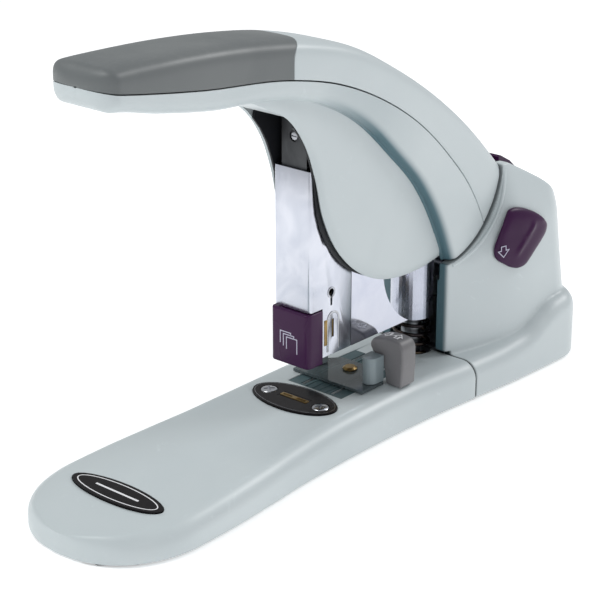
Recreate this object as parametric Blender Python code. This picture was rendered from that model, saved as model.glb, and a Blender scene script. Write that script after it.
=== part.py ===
"""Heavy-duty desk stapler, modelled as an assembly of separate pieces.

Units are metres, +Z is up.  The nose of the base and of the handle points to -Y, and the object is
symmetric about the plane x = 0 apart from the depth-guide knob.  Heights are measured from the
surface the stapler stands on.  Lengths along Y are measured from the driver plane, the plane in
which the staple is driven, and every finished mesh is then moved so that the origin lies under the
middle of the base.
"""
import math

import bmesh
import bpy
import numpy as np
from mathutils import Matrix

# ---- driving dimensions -------------------------------------------------------------------------
NOSE_REACH = 0.150          # driver plane to the tip of the base
TAIL_REACH = 0.188          # driver plane to the rear end of the base
BASE_HALF_WIDTH = 0.0420    # widest part of the base, at its nose
BASE_HEIGHT = 0.0210        # top of the base beside the depth guide
BASE_LIFT = 0.0010          # lower rim of the shells above the desk
SHOULDER_RADIUS = 0.0085    # rounding between the top and the sides of the base
SHELL_WALL = 0.0024         # wall of every moulded shell
GAP = 0.0003                # clearance between pieces that touch
RUN_GAP = 0.0008            # clearance between pieces that move past each other
WELD = 0.000002             # points closer together than this are one point
WALL_STEP = 0.0010          # least distance between two neighbouring cross-sections
MAT_THICKNESS = 0.0015
PLATE_THICKNESS = 0.0020
SEAM_Y = 0.0917             # joint between the base cover and the rear housing

HEAD_HALF_WIDTH = 0.01095   # outside of the steel sheath
SHEET = 0.0012              # steel sheet of the sheath and the magazine
SHEATH_FRONT = -0.0016
SHEATH_BOTTOM = 0.0420
SHEATH_TOP = 0.1340
SHEATH_DEPTH = 0.0291
CAP_HEIGHT = 0.0266
CAP_LENGTH = 0.0106
CAP_OVERHANG = 0.00075      # how far the cap stands out beyond the sheath on each side
HEAD_TRAVEL = 0.0165        # how far the head comes down onto the paper
DRIVER_TRAVEL = 0.0178      # how far the blade is pushed down inside the head
DRAWER_LENGTH = 0.0440
DRAWER_TRAVEL = 0.0460      # how far the drawer pulls out
DRAWER_HEIGHT = 0.0175
RAIL_HALF_WIDTH = 0.0054    # inside of the staple crown
RAIL_HEIGHT = 0.0098
BLADE_HALF_WIDTH = 0.0063   # half of the staple crown
BLADE_THICKNESS = 0.0010
ROLL_RADIUS = 0.0019        # rolled band spring behind the staple pusher

HANDLE_TURN = 24.0          # degrees from rest to fully pressed
HANDLE_PIVOT = (0.0860, 0.1140)
HANDLE_END_RADIUS = 0.0460  # rounded lower end of the handle, about its pivot
HANDLE_HALF_WIDTH = 0.0200  # at the rear; the nose is a little narrower
PAD_THICKNESS = 0.0030
PAD_SIDE_END = -0.0235     # rear end of the soft grip at the handle's sides
PAD_END = -0.0110           # and on the top of the handle
FRAME_SHEET = 0.0010        # steel of the frame inside the handle
TEARDROP_WALL = 0.00155     # moulded covers beside the head
PIN_RADIUS = 0.0040

YOKE_SHEET = 0.0020
YOKE_Y = 0.1260             # middle of the upright part of the yoke
YOKE_HALF_DEPTH = 0.0140
YOKE_CHEEK_REACH = 0.0085   # from the pin slot's middle to the front edge of the cheeks
YOKE_ARM_HALF_WIDTH = 0.0078
GUIDE_PIN_RADIUS = 0.0025

SPRING_Y = 0.0880
CUP_RADIUS = 0.0106
CUP_WALL = 0.0008
CUP_BOTTOM = 0.0380
CUP_TOP = 0.0742
SPRING_SEAT = 0.0180
WIRE_RADIUS = 0.0010
SPRING_TURNS = 11

PEDESTAL_FRONT = 0.0895
PEDESTAL_FRONT_HALF = 0.0205
PEDESTAL_REAR_HALF = 0.0345
RELEASE_PIVOT = (0.1460, 0.0800)
RELEASE_SHAFT_RADIUS = 0.0025

ANVIL_HALF_LENGTH = 0.0240
ANVIL_HALF_DEPTH = 0.0125
ANVIL_SCREW_X = 0.0160
ANVIL_SCREW_RADIUS = 0.0040
BADGE_Y = -0.1146
BADGE_HALF_LENGTH = 0.0270
BADGE_HALF_DEPTH = 0.0080

GUIDE_Y = 0.0235            # front edge of the depth guide's bar
GUIDE_DEPTH = 0.0260
GUIDE_SLOT_X = 0.0091
GUIDE_TRACK_HALF = 0.0168
GUIDE_TRACK_START = 0.0140
GUIDE_TRACK_END = 0.0770

# The stapler's own origin lies under the middle of the base.
DRIVER_PLANE_Y = (NOSE_REACH - TAIL_REACH) / 2

# Layers beside the head, from the inside out.
FRAME_INNER = HEAD_HALF_WIDTH + GAP
FRAME_OUTER = FRAME_INNER + FRAME_SHEET
COVER_INNER = FRAME_OUTER + GAP
COVER_OUTER = COVER_INNER + TEARDROP_WALL
YOKE_INNER = COVER_INNER + RUN_GAP
YOKE_OUTER = YOKE_INNER + YOKE_SHEET

# Levels of the steel floor under the base.
PLATE_BOTTOM = MAT_THICKNESS + GAP
PLATE_TOP = PLATE_BOTTOM + PLATE_THICKNESS
CAP_BOTTOM = SHEATH_BOTTOM - 0.0027
CAP_FRONT = SHEATH_FRONT - 0.00215
TOP_LEVEL = BASE_HEIGHT - 0.0004    # top of the base at the driver plane

# Side view of the handle, nose to tail: upper edge, lower edge, half width.
HANDLE_STATIONS = [
    (-0.1285, 0.1998, -0.1285, 0.1912, 0.76),
    (-0.1272, 0.2030, -0.1268, 0.1890, 0.87),
    (-0.1215, 0.2052, -0.1215, 0.1870, 0.92),
    (-0.0980, 0.2050, -0.0980, 0.1818, 0.93),
    (-0.0690, 0.2037, -0.0670, 0.1765, 0.94),
    (-0.0390, 0.2010, -0.0390, 0.1745, 0.95),
    (-0.0090, 0.1965, -0.0130, 0.1703, 0.96),
    (0.0240, 0.1873, 0.0095, 0.1622, 0.97),
    (0.0540, 0.1720, 0.0290, 0.1505, 0.98),
    (0.0840, 0.1530, 0.0500, 0.1320, 0.99),
    (0.1080, 0.1343, 0.0690, 0.1130, 1.00),
    (0.1270, 0.1165, 0.0825, 0.0925, 1.00),
    (0.1440, 0.0985, 0.0925, 0.0700, 1.00),
    (0.1560, 0.0840, 0.0990, 0.0500, 1.00),
]
HANDLE_SEAM = [
    (-0.1420, 0.1990), (-0.1160, 0.1940), (-0.0780, 0.1880), (-0.0230, 0.1815), (0.0075, 0.1740),
    (0.0380, 0.1610), (0.0660, 0.1435), (0.0890, 0.1230), (0.1060, 0.1040), (0.1160, 0.0880),
    (0.1225, 0.0730), (0.1330, 0.0450),
]
# Free edge of the covers that hang beside the head, from under the handle round to its tail.
TEARDROP_EDGE = [
    (-0.0200, 0.1630), (-0.0078, 0.1480), (-0.0012, 0.1320), (0.0042, 0.1120), (0.0132, 0.0950),
    (0.0280, 0.0800), (0.0450, 0.0712), (0.0620, 0.0680), (0.0770, 0.0680), (0.0925, 0.0705),
]
# How far the steel cheeks show in front of those covers, by height.
CHEEK_SHOWS = [
    (0.0700, -0.0012), (0.0760, 0.0000), (0.0850, 0.0016), (0.1050, 0.0025), (0.1200, 0.0010),
    (0.1300, -0.0004), (0.1650, -0.0008),
]
# Plan of the base as fractions of its half width, and its height as fractions of BASE_HEIGHT.
BASE_WIDTHS = [
    (-0.110, 1.000), (-0.090, 0.986), (-0.060, 0.935), (-0.030, 0.870), (0.000, 0.840),
    (0.030, 0.835), (0.060, 0.855), (0.090, 0.905), (0.130, 0.980), (0.158, 1.000),
]
BASE_HEIGHTS = [
    (-0.150, 0.52), (-0.143, 0.62), (-0.130, 0.68), (-0.115, 0.725), (-0.060, 0.85), (0.000, 0.98),
    (0.040, 1.00), (0.122, 1.00), (0.132, 1.07), (0.146, 1.36), (0.160, 1.62), (0.170, 1.68),
    (0.180, 1.62), (0.188, 1.40),
]
NOSE_ROUND = 0.046
TAIL_ROUND = 0.024
ROUND_POWER = 2.3


# ---- modelling helpers --------------------------------------------------------------------------
def spline(points, count):
    """Points along a smooth curve (Catmull-Rom, by chord length) through the given ones."""
    knots = np.array(points, float)
    steps = np.maximum(np.linalg.norm(np.diff(knots[:, :2], axis=0), axis=1), 1e-6)
    at = np.concatenate([[0.0], np.cumsum(steps)])
    slopes = np.gradient(knots, at, axis=0)
    out = []
    for place in np.linspace(0.0, at[-1], count):
        i = min(int(np.searchsorted(at, place, side="right")) - 1, len(at) - 2)
        span = at[i + 1] - at[i]
        t = (place - at[i]) / span
        out.append((2 * t**3 - 3 * t**2 + 1) * knots[i] + (t**3 - 2 * t**2 + t) * span * slopes[i]
                   + (3 * t**2 - 2 * t**3) * knots[i + 1] + (t**3 - t**2) * span * slopes[i + 1])
    return np.array(out)


def arc(centre, radius, start, end, count):
    """Points on a circular arc in the plane, angles in degrees."""
    turns = np.radians(np.linspace(start, end, count))
    return [(centre[0] + radius * math.cos(a), centre[1] + radius * math.sin(a)) for a in turns]


def circle(centre, radius, count=24):
    return arc(centre, radius, 0.0, 360.0 * (count - 1) / count, count)


def oval(centre, half_length, half_depth, count=28):
    turns = np.linspace(0.0, 2 * math.pi, count, endpoint=False)
    return [(centre[0] + half_length * math.cos(a), centre[1] + half_depth * math.sin(a)) for a in turns]


def rectangle(low_a, high_a, low_b, high_b):
    return [(low_a, low_b), (high_a, low_b), (high_a, high_b), (low_a, high_b)]


def mesh_object(name, verts, faces):
    mesh = bpy.data.meshes.new(name)
    mesh.from_pydata([tuple(v) for v in verts], [], faces)
    shape = bmesh.new()
    shape.from_mesh(mesh)
    bmesh.ops.recalc_face_normals(shape, faces=shape.faces)
    shape.to_mesh(mesh)
    shape.free()
    obj = bpy.data.objects.new(name, mesh)
    bpy.context.scene.collection.objects.link(obj)
    return obj


def loft(name, loops):
    """A closed solid through loops that all have the same number of points."""
    count = len(loops[0])
    verts = [point for loop in loops for point in loop]
    faces = []
    for i in range(len(loops) - 1):
        for j in range(count):
            k = (j + 1) % count
            faces.append((i * count + j, i * count + k, (i + 1) * count + k, (i + 1) * count + j))
    last = (len(loops) - 1) * count
    faces.append(tuple(range(count))[::-1])
    faces.append(tuple(range(last, last + count)))
    return mesh_object(name, verts, faces)


def prism(name, axis, outline, low, high):
    """An outline in the other two axes, pulled along one axis from low to high."""
    def place(level):
        if axis == "X":
            return [(level, a, b) for a, b in outline]
        if axis == "Y":
            return [(a, level, b) for a, b in outline]
        return [(a, b, level) for a, b in outline]
    return loft(name, [place(low), place(high)])


def rod(name, centre, radius, low, high, sides=20, axis="X"):
    return prism(name, axis, circle(centre, radius, sides), low, high)


def box(name, x_range, y_range, z_range):
    return prism(name, "X", rectangle(*y_range, *z_range), *x_range)


def turned(name, profile, centre, sides=28):
    """A closed solid from a profile of (radius, height), turned about a vertical axis."""
    loops = []
    for radius, height in profile:
        loops.append([(centre[0] + a, centre[1] + b, height) for a, b in circle((0, 0), radius, sides)])
    return loft(name, loops)


def coil(name, centre, radius, wire, low, high, turns, around=5, steps=9):
    """A round-wire spring with flat-lying ends."""
    loops = []
    total = turns * steps
    for i in range(total + 1):
        t = i / total
        rise = low + wire + (high - low - 2 * wire) * (t + 0.035 * math.sin(2 * math.pi * (2 * t - 1)) / 2)
        turn = 2 * math.pi * turns * t
        out = (math.cos(turn), math.sin(turn))
        ring = []
        for j in range(around):
            a = 2 * math.pi * j / around
            reach = radius + wire * math.cos(a)
            ring.append((centre[0] + out[0] * reach, centre[1] + out[1] * reach, rise + wire * math.sin(a)))
        loops.append(ring)
    return loft(name, loops)


def boolean(target, operation, *tools):
    """Combine the target with each tool in turn; the tools are used up."""
    for tool in tools:
        step = target.modifiers.new(operation, "BOOLEAN")
        step.operation = operation
        step.object = tool
        bpy.context.view_layer.update()
        graph = bpy.context.evaluated_depsgraph_get()
        result = bpy.data.meshes.new_from_object(target.evaluated_get(graph))
        target.modifiers.clear()
        target.data = result
        bpy.data.objects.remove(tool)
    return target


def cut(target, *tools):
    return boolean(target, "DIFFERENCE", *tools)


def add(target, *tools):
    return boolean(target, "UNION", *tools)


def keep(target, *tools):
    return boolean(target, "INTERSECT", *tools)


def welded(mesh):
    """Merge the slivers that cutting leaves behind."""
    shape = bmesh.new()
    shape.from_mesh(mesh)
    bmesh.ops.remove_doubles(shape, verts=shape.verts, dist=WELD)
    bmesh.ops.dissolve_degenerate(shape, edges=shape.edges, dist=WELD)
    shape.to_mesh(mesh)
    shape.free()


def mirrored(obj):
    """The same piece for the other side of the stapler."""
    other = obj.copy()
    other.data = obj.data.copy()
    bpy.context.scene.collection.objects.link(other)
    other.data.transform(Matrix.Diagonal((-1.0, 1.0, 1.0, 1.0)))
    other.data.flip_normals()
    return other


def bevelled(obj, width, segments=2, angle=40.0):
    step = obj.modifiers.new("edge rounding", "BEVEL")
    step.width = width
    step.segments = segments
    step.limit_method = "ANGLE"
    step.angle_limit = math.radians(angle)
    step.harden_normals = False
    return obj


def material(name, colour, roughness, metallic=0.0):
    made = bpy.data.materials.new(name)
    made.use_nodes = True
    shader = made.node_tree.nodes["Principled BSDF"]
    shader.inputs["Base Color"].default_value = (*colour, 1.0)
    shader.inputs["Roughness"].default_value = roughness
    shader.inputs["Metallic"].default_value = metallic
    return made


def finish(obj, name, finish_values, parent=None, smooth=True):
    """Name a piece, give it its own material and put it in the stapler's frame."""
    obj.name = name
    obj.data.name = name
    welded(obj.data)
    obj.data.transform(Matrix.Translation((0.0, DRIVER_PLANE_Y, 0.0)))
    obj.data.materials.clear()
    obj.data.materials.append(material(name, *finish_values))
    if smooth:
        obj.data.shade_smooth()
        obj.data.set_sharp_from_angle(angle=math.radians(35.0))
    if parent is not None:
        obj.parent = parent
        obj.matrix_parent_inverse = parent.matrix_world.inverted()
    return obj


def joint_axis(name, y, z):
    """An empty on a joint's axis, to which the pieces that move with it are parented."""
    empty = bpy.data.objects.new(name, None)
    empty.location = (0.0, y + DRIVER_PLANE_Y, z)
    bpy.context.scene.collection.objects.link(empty)
    bpy.context.view_layer.update()
    return empty


PALE = ((0.58, 0.62, 0.66), 0.38)
PAD_GREY = ((0.13, 0.14, 0.15), 0.62)
PURPLE = ((0.045, 0.016, 0.050), 0.35)
STEEL = ((0.72, 0.73, 0.76), 0.14, 1.0)
DULL_STEEL = ((0.50, 0.51, 0.53), 0.35, 1.0)
BLACK_STEEL = ((0.030, 0.031, 0.036), 0.45, 0.3)
CHROME = ((0.78, 0.79, 0.82), 0.06, 1.0)
BRASS = ((0.55, 0.42, 0.20), 0.30, 1.0)
BLACK = ((0.010, 0.010, 0.012), 0.30)
RUBBER = ((0.020, 0.020, 0.020), 0.85)
KNOB_GREY = ((0.20, 0.195, 0.20), 0.50)
STOP_GREY = ((0.27, 0.31, 0.33), 0.45)


# ---- base ---------------------------------------------------------------------------------------
def base_half_width(y):
    """Half width of the base at a distance from the driver plane, with round ends in plan."""
    places, shares = zip(*BASE_WIDTHS)
    width = BASE_HALF_WIDTH * float(np.interp(y, places, shares))
    for end, start in ((-NOSE_REACH, -NOSE_REACH + NOSE_ROUND), (TAIL_REACH, TAIL_REACH - TAIL_ROUND)):
        along = (y - start) / (end - start)
        if along > 0.0:
            width *= max(1.0 - min(along, 1.0) ** ROUND_POWER, 0.0) ** (1.0 / ROUND_POWER)
    return width


def base_height(y):
    """Height of the base's top, stretched to the ends of this base."""
    places, shares = zip(*BASE_HEIGHTS)
    reach = NOSE_REACH / -places[0] if y < 0.0 else TAIL_REACH / places[-1]
    return BASE_HEIGHT * float(np.interp(y / reach, places, shares))


def base_stations():
    """Places along the base, closer together at its round ends."""
    nose = -NOSE_REACH + NOSE_ROUND * (1.0 - np.cos(np.linspace(0.10, math.pi / 2, 9)))
    tail = TAIL_REACH - TAIL_ROUND * (1.0 - np.cos(np.linspace(math.pi / 2, 0.12, 7)))
    middle = np.linspace(nose[-1], tail[0], 14)[1:-1]
    return list(nose) + list(middle) + list(tail)


def base_section(y, inset, bottom):
    """One cross-section of the base: straight sides, round shoulders, a nearly flat top."""
    half = max(base_half_width(y) - inset, 0.0012)
    top = max(base_height(y) - inset, bottom + 0.004)
    radius = min(max(SHOULDER_RADIUS - inset, 0.002), 0.8 * half, 0.6 * (top - bottom))
    right = [(0.6 * half, bottom), (half, bottom)]
    right += arc((half - radius, top - radius), radius, 0.0, 84.0, 5)
    right += [(0.45 * (half - radius), top + 0.0)]
    loop = right + [(-x, z) for x, z in reversed(right)]
    return [(x, y, z) for x, z in loop]


def base_solid(name, inset=0.0, bottom=BASE_LIFT):
    stations = base_stations()
    if inset > 0.0:
        first = -NOSE_REACH + inset + GAP
        last = TAIL_REACH - inset - GAP
        inner = [y for y in stations if first + WALL_STEP < y < last - WALL_STEP]
        stations = [first] + inner + [last]
    return loft(name, [base_section(y, inset, bottom) for y in stations])


def base_outline(inset, count=30):
    """Plan outline of what fits inside the base."""
    ys = np.linspace(-NOSE_REACH + inset + 0.002, TAIL_REACH - inset - 0.002, count)
    right = [(max(base_half_width(y) - inset, 0.002), y) for y in ys]
    return right + [(-x, y) for x, y in reversed(right)]


def make_base():
    cover = base_solid("base cover")
    cut(cover, box("rear part", (-0.1, 0.1), (SEAM_Y - GAP, 0.4), (-0.1, 0.2)))
    cut(cover, base_solid("base cavity", SHELL_WALL, -0.002))
    recess = oval((0.0, 0.0), ANVIL_HALF_LENGTH + GAP, ANVIL_HALF_DEPTH + GAP)
    badge = oval((0.0, BADGE_Y), BADGE_HALF_LENGTH + GAP, BADGE_HALF_DEPTH + GAP)
    badge_level = base_height(BADGE_Y) - 0.0011
    track = rectangle(-GUIDE_TRACK_HALF, GUIDE_TRACK_HALF, GUIDE_TRACK_START, GUIDE_TRACK_END)
    cut(cover,
        prism("anvil recess", "Z", recess, TOP_LEVEL - 0.0008, 0.05),
        prism("badge recess", "Z", badge, badge_level, 0.05),
        prism("track recess", "Z", track, BASE_HEIGHT - 0.0009, 0.05),
        rod("spring hole", (0.0, SPRING_Y), CUP_RADIUS + RUN_GAP, 0.010, 0.05, 28, "Z"))
    for side in (-1, 1):
        slot = rectangle(side * GUIDE_SLOT_X - 0.0011, side * GUIDE_SLOT_X + 0.0011,
                         GUIDE_TRACK_START + 0.002, GUIDE_TRACK_END - 0.002)
        cut(cover,
            prism("guide slot", "Z", slot, 0.010, 0.05),
            rod("screw hole", (side * ANVIL_SCREW_X, 0.0), 0.0022, 0.010, 0.05, 16, "Z"))
    finish(cover, "base_cover", PALE)

    plate = prism("plate", "Z", base_outline(SHELL_WALL + GAP), PLATE_BOTTOM, PLATE_TOP)
    finish(plate, "base_plate", DULL_STEEL)
    mat = prism("mat", "Z", base_outline(SHELL_WALL + 2 * GAP), 0.0, MAT_THICKNESS)
    finish(mat, "base_mat", RUBBER)

    badge_plate = prism("badge", "Z", oval((0.0, BADGE_Y), BADGE_HALF_LENGTH, BADGE_HALF_DEPTH),
                        badge_level + GAP, base_height(BADGE_Y) + 0.0005)
    finish(badge_plate, "nose_badge", BLACK)


def make_anvil():
    bottom = TOP_LEVEL - 0.0008 + GAP
    top = TOP_LEVEL + 0.0006
    plate = prism("anvil plate", "Z", oval((0.0, 0.0), ANVIL_HALF_LENGTH, ANVIL_HALF_DEPTH), bottom, top)
    insert = rectangle(-0.0082, 0.0082, -0.0026, 0.0026)
    cut(plate, prism("insert hole", "Z", rectangle(-0.0085, 0.0085, -0.0029, 0.0029), 0.0, 0.05))
    bar = prism("insert", "Z", insert, bottom, top + 0.0003)
    for side in (-1, 1):
        groove = rectangle(side * 0.0042 - 0.0028, side * 0.0042 + 0.0028, -0.0010, 0.0010)
        cut(bar, prism("groove", "Z", groove, top - 0.0003, 0.05))
        cut(plate, rod("head hole", (side * ANVIL_SCREW_X, 0.0), ANVIL_SCREW_RADIUS + GAP, 0.0, 0.05, 24, "Z"))
        profile = [(0.0015, PLATE_TOP + GAP), (0.0015, bottom), (ANVIL_SCREW_RADIUS, bottom + 0.0001),
                   (ANVIL_SCREW_RADIUS, top), (ANVIL_SCREW_RADIUS - 0.0004, top + 0.0003)]
        screw = turned("screw", profile, (side * ANVIL_SCREW_X, 0.0), 24)
        finish(screw, "anvil_screw_right" if side > 0 else "anvil_screw_left", STEEL)
    finish(plate, "anvil_plate", BLACK)
    finish(bar, "anvil_insert", BRASS)


# ---- rear housing and the steel inside it --------------------------------------------------------
def wedge_outline(level, inset):
    """Plan of the pedestal: narrow in front, wider behind, with round rear corners."""
    lean = (level - 0.036) / 0.060
    rear = TAIL_REACH - 0.0075 - 0.0075 * lean - inset
    dome = max(level - 0.078, 0.0) / 0.034
    half = PEDESTAL_REAR_HALF - 0.0030 * lean - 0.0115 * min(dome, 1.0) ** 1.5 - inset
    front = PEDESTAL_FRONT + inset
    front_half = PEDESTAL_FRONT_HALF - inset
    corner = min(0.0150, 0.45 * half) - 0.5 * inset
    side = rear - corner - 0.016
    right = [(front_half, front)]
    right += [tuple(p) for p in spline([(front_half + 0.0004, front + 0.001),
                                        (0.62 * front_half + 0.38 * half, 0.68 * front + 0.32 * side),
                                        (0.22 * front_half + 0.78 * half, 0.30 * front + 0.70 * side),
                                        (half, rear - corner)], 8)]
    right += arc((half - corner, rear - corner), corner, 12.0, 84.0, 7)
    return right + [(-x, y) for x, y in reversed(right)]


def pedestal_solid(name, inset=0.0, bottom=0.010, top=0.115):
    levels = [bottom, 0.045, 0.078, 0.088, 0.095, 0.102, 0.108, top]
    return loft(name, [[(x, y, z) for x, y in wedge_outline(z, inset)] for z in levels])


def pedestal_profile(inset=0.0):
    """Side view of the pedestal: front edge, the seat for the handle's end, top and sloping rear."""
    rear = TAIL_REACH + 0.010
    seat = arc(HANDLE_PIVOT, HANDLE_END_RADIUS + RUN_GAP + inset, -84.0, -6.0, 16)
    top_start = (seat[-1][0] + 0.0045, seat[-1][1] - 0.0003 - inset)
    crest = TAIL_REACH - 0.0225
    outline = [(0.05, -0.01), (0.05, seat[0][1])] + seat + [top_start]
    outline += [(crest - 0.0145, 0.1010 - inset), (crest - 0.0050, 0.0950 - inset),
                (crest + 0.0020 - inset, 0.0885 - inset), (crest + 0.0060 - inset, 0.0800 - inset)]
    outline += [(rear, 0.0300), (rear, -0.01)]
    return outline


def release_tab_outline():
    """Side view of the tab that stands up through the top of the housing."""
    y, z = RELEASE_PIVOT
    return arc(RELEASE_PIVOT, 0.0055, 205.0, 320.0, 8) + [
        (y + 0.0150, z + 0.0160), (y + 0.0146, z + 0.0182), (y + 0.0080, z + 0.0238), (y + 0.0000, z + 0.0282),
        (y - 0.0016, z + 0.0276), (y - 0.0012, z + 0.0160)]


def make_housing():
    housing = base_solid("housing")
    cut(housing, box("front part", (-0.1, 0.1), (-0.4, SEAM_Y + GAP), (-0.1, 0.2)))
    pedestal = pedestal_solid("pedestal")
    keep(pedestal, prism("profile", "X", pedestal_profile(), -0.1, 0.1))
    cut(pedestal, box("under the seam", (-0.1, 0.1), (0.0, SEAM_Y + 2 * GAP), (-0.1, BASE_HEIGHT + GAP)))
    add(housing, pedestal)
    cavity = pedestal_solid("inside", SHELL_WALL, -0.002, 0.120)
    keep(cavity, prism("inner profile", "X", pedestal_profile(SHELL_WALL), -0.1, 0.1))
    cut(housing, base_solid("skirt inside", SHELL_WALL, -0.002), cavity)
    mouth = COVER_OUTER + RUN_GAP / 2
    cut(housing,
        box("front mouth", (-mouth, mouth), (0.05, PEDESTAL_FRONT + 0.02), (SPRING_SEAT - 0.002, 0.2)),
        rod("seat mouth", HANDLE_PIVOT, HANDLE_END_RADIUS + 4 * SHELL_WALL, -YOKE_OUTER - GAP, YOKE_OUTER + GAP, 48),
        rod("spring hole", (0.0, SPRING_Y), CUP_RADIUS + RUN_GAP, 0.010, 0.05, 28, "Z"),
        rod("shaft hole", RELEASE_PIVOT, RELEASE_SHAFT_RADIUS + GAP, -0.1, 0.1, 16),
        box("tab hole", (-0.0105, 0.0105),
            (RELEASE_PIVOT[0] - 0.0070, RELEASE_PIVOT[0] + 0.0158), (0.090, 0.2)))
    finish(housing, "rear_housing", PALE)


def make_yoke():
    """Bent steel frame on the base plate: it carries the handle's pin and guides the head."""
    floor = PLATE_TOP + GAP
    y, z = HANDLE_PIVOT
    front = YOKE_Y - YOKE_HALF_DEPTH
    rear = YOKE_Y + YOKE_HALF_DEPTH
    lean = math.degrees(math.atan2(0.080 - z, YOKE_Y - y))
    normal = (math.cos(math.radians(lean + 90)), math.sin(math.radians(lean + 90)))
    reach = YOKE_ARM_HALF_WIDTH
    cheek_front = YOKE_Y - YOKE_CHEEK_REACH
    outline = [(cheek_front, floor), (rear, floor), (rear, 0.066)]
    outline += [(YOKE_Y + 0.006 + reach * normal[0] / 2, 0.080 + reach * normal[1] / 2)]
    outline += arc(HANDLE_PIVOT, reach, lean + 90, lean + 270, 12)
    outline += [(cheek_front, 0.080 + (YOKE_Y - cheek_front) * 0.2 - 0.002)]
    slot_low = 0.0520 - HEAD_TRAVEL - GUIDE_PIN_RADIUS - RUN_GAP
    slot_high = 0.0720 + GUIDE_PIN_RADIUS + RUN_GAP
    slot = rectangle(YOKE_Y - GUIDE_PIN_RADIUS - GAP, YOKE_Y + GUIDE_PIN_RADIUS + GAP, slot_low, slot_high)
    yoke = prism("web", "Z", rectangle(-YOKE_OUTER, YOKE_OUTER, front, rear), floor, floor + YOKE_SHEET)
    for side in (-1, 1):
        low, high = sorted((side * YOKE_INNER, side * YOKE_OUTER))
        cheek = prism("cheek", "X", outline, low, high)
        cut(cheek,
            rod("pin hole", HANDLE_PIVOT, PIN_RADIUS + GAP / 3, low - 0.001, high + 0.001),
            prism("pin slot", "X", slot, low - 0.001, high + 0.001))
        add(yoke, cheek)
    for place_x in (-0.008, 0.008):
        for place_y in (YOKE_Y - 0.008, YOKE_Y + 0.008):
            cut(yoke, rod("bolt hole", (place_x, place_y), 0.0021, 0.0, floor + 0.01, 14, "Z"))
            end = "front" if place_y < YOKE_Y else "rear"
            hand = "right" if place_x > 0 else "left"
            head = floor + YOKE_SHEET + GAP
            bolt = turned("bolt", [(0.0018, PLATE_TOP + GAP), (0.0018, head), (0.0036, head + 0.0001),
                                   (0.0036, head + 0.0024), (0.0030, head + 0.0028)],
                          (place_x, place_y), 18)
            finish(bolt, f"yoke_bolt_{end}_{hand}", DULL_STEEL)
    finish(yoke, "steel_yoke", DULL_STEEL)
    pin = rod("pin", HANDLE_PIVOT, PIN_RADIUS, -YOKE_OUTER - 0.0008, YOKE_OUTER + 0.0008, 24)
    finish(pin, "handle_pin", STEEL)


def make_spring():
    inner = CUP_RADIUS - CUP_WALL - GAP
    post = turned("post", [(0.0095, PLATE_TOP + GAP), (0.0095, SPRING_SEAT - GAP),
                           (0.0050, SPRING_SEAT - GAP + 0.0001), (0.0050, 0.0520), (0.0040, 0.0535)],
                  (0.0, SPRING_Y), 28)
    finish(post, "guide_post", DULL_STEEL)
    spring = coil("spring", (0.0, SPRING_Y), inner - WIRE_RADIUS, WIRE_RADIUS,
                  SPRING_SEAT, CUP_TOP - CUP_WALL - GAP, SPRING_TURNS)
    finish(spring, "main_spring", BLACK_STEEL)


# ---- head: sheath, magazine and what slides in it ------------------------------------------------
def make_head(axis):
    outer = HEAD_HALF_WIDTH
    inner = outer - SHEET
    rear = SHEATH_FRONT + SHEATH_DEPTH
    channel = [(-outer, rear), (-outer, SHEATH_FRONT), (outer, SHEATH_FRONT), (outer, rear),
               (inner, rear), (inner, SHEATH_FRONT + SHEET), (-inner, SHEATH_FRONT + SHEET), (-inner, rear)]
    sheath = prism("sheath", "Z", channel, SHEATH_BOTTOM, SHEATH_TOP)
    cap_rear = CAP_FRONT + CAP_LENGTH
    cap_top = CAP_BOTTOM + CAP_HEIGHT
    cut(sheath, box("room for cap", (-0.02, 0.02), (-0.02, cap_rear + GAP), (0.0, cap_top + 0.0006)))
    finish(sheath, "sheath", STEEL, axis)

    start = rear + GAP
    arm_low = CUP_TOP + GAP
    side_view = [(start, SHEATH_BOTTOM), (0.0710, SHEATH_BOTTOM)]
    side_view += arc((SPRING_Y, 0.0750), 0.0370, -117.0, -175.0, 12)
    side_view += [(0.0518, arm_low), (0.1010, arm_low), (0.1010, 0.0460), (0.1320, 0.0460),
                  (0.1320, 0.0880), (0.0500, 0.0960), (0.0400, 0.1060), (start, 0.1180)]
    frame = prism("bridge", "X", [(0.076, arm_low + 0.0001), (0.104, arm_low + 0.0001),
                                  (0.104, arm_low + SHEET), (0.076, arm_low + SHEET)], -inner - 0.0003, inner + 0.0003)
    web = [(start + 0.001, 0.1160), (start + 0.001, 0.1172), (0.0400, 0.1050), (0.0400, 0.1038)]
    for side in (-1, 1):
        low, high = sorted((side * inner, side * outer))
        add(frame, prism("side", "X", side_view, low, high))
    add(frame, prism("web", "X", web, -inner - 0.0003, inner + 0.0003))
    for height in (0.0520, 0.0720):
        cut(frame, rod("pin hole", (YOKE_Y, height), GUIDE_PIN_RADIUS + GAP / 3, -0.02, 0.02))
        pin = rod("pin", (YOKE_Y, height), GUIDE_PIN_RADIUS, -YOKE_OUTER - 0.0005, YOKE_OUTER + 0.0005)
        finish(pin, "head_pin_lower" if height < 0.06 else "head_pin_upper", STEEL, axis)
    finish(frame, "magazine_frame", STEEL, axis)

    cup_inner = CUP_RADIUS - CUP_WALL
    cup = turned("cup", [(CUP_RADIUS, CUP_BOTTOM), (CUP_RADIUS, CUP_TOP - 0.0012), (CUP_RADIUS - 0.0012, CUP_TOP)],
                 (0.0, SPRING_Y), 36)
    cut(cup, rod("hollow", (0.0, SPRING_Y), cup_inner, CUP_BOTTOM - 0.01, CUP_TOP - CUP_WALL, 36, "Z"))
    finish(cup, "spring_cup", CHROME, axis)


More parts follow.
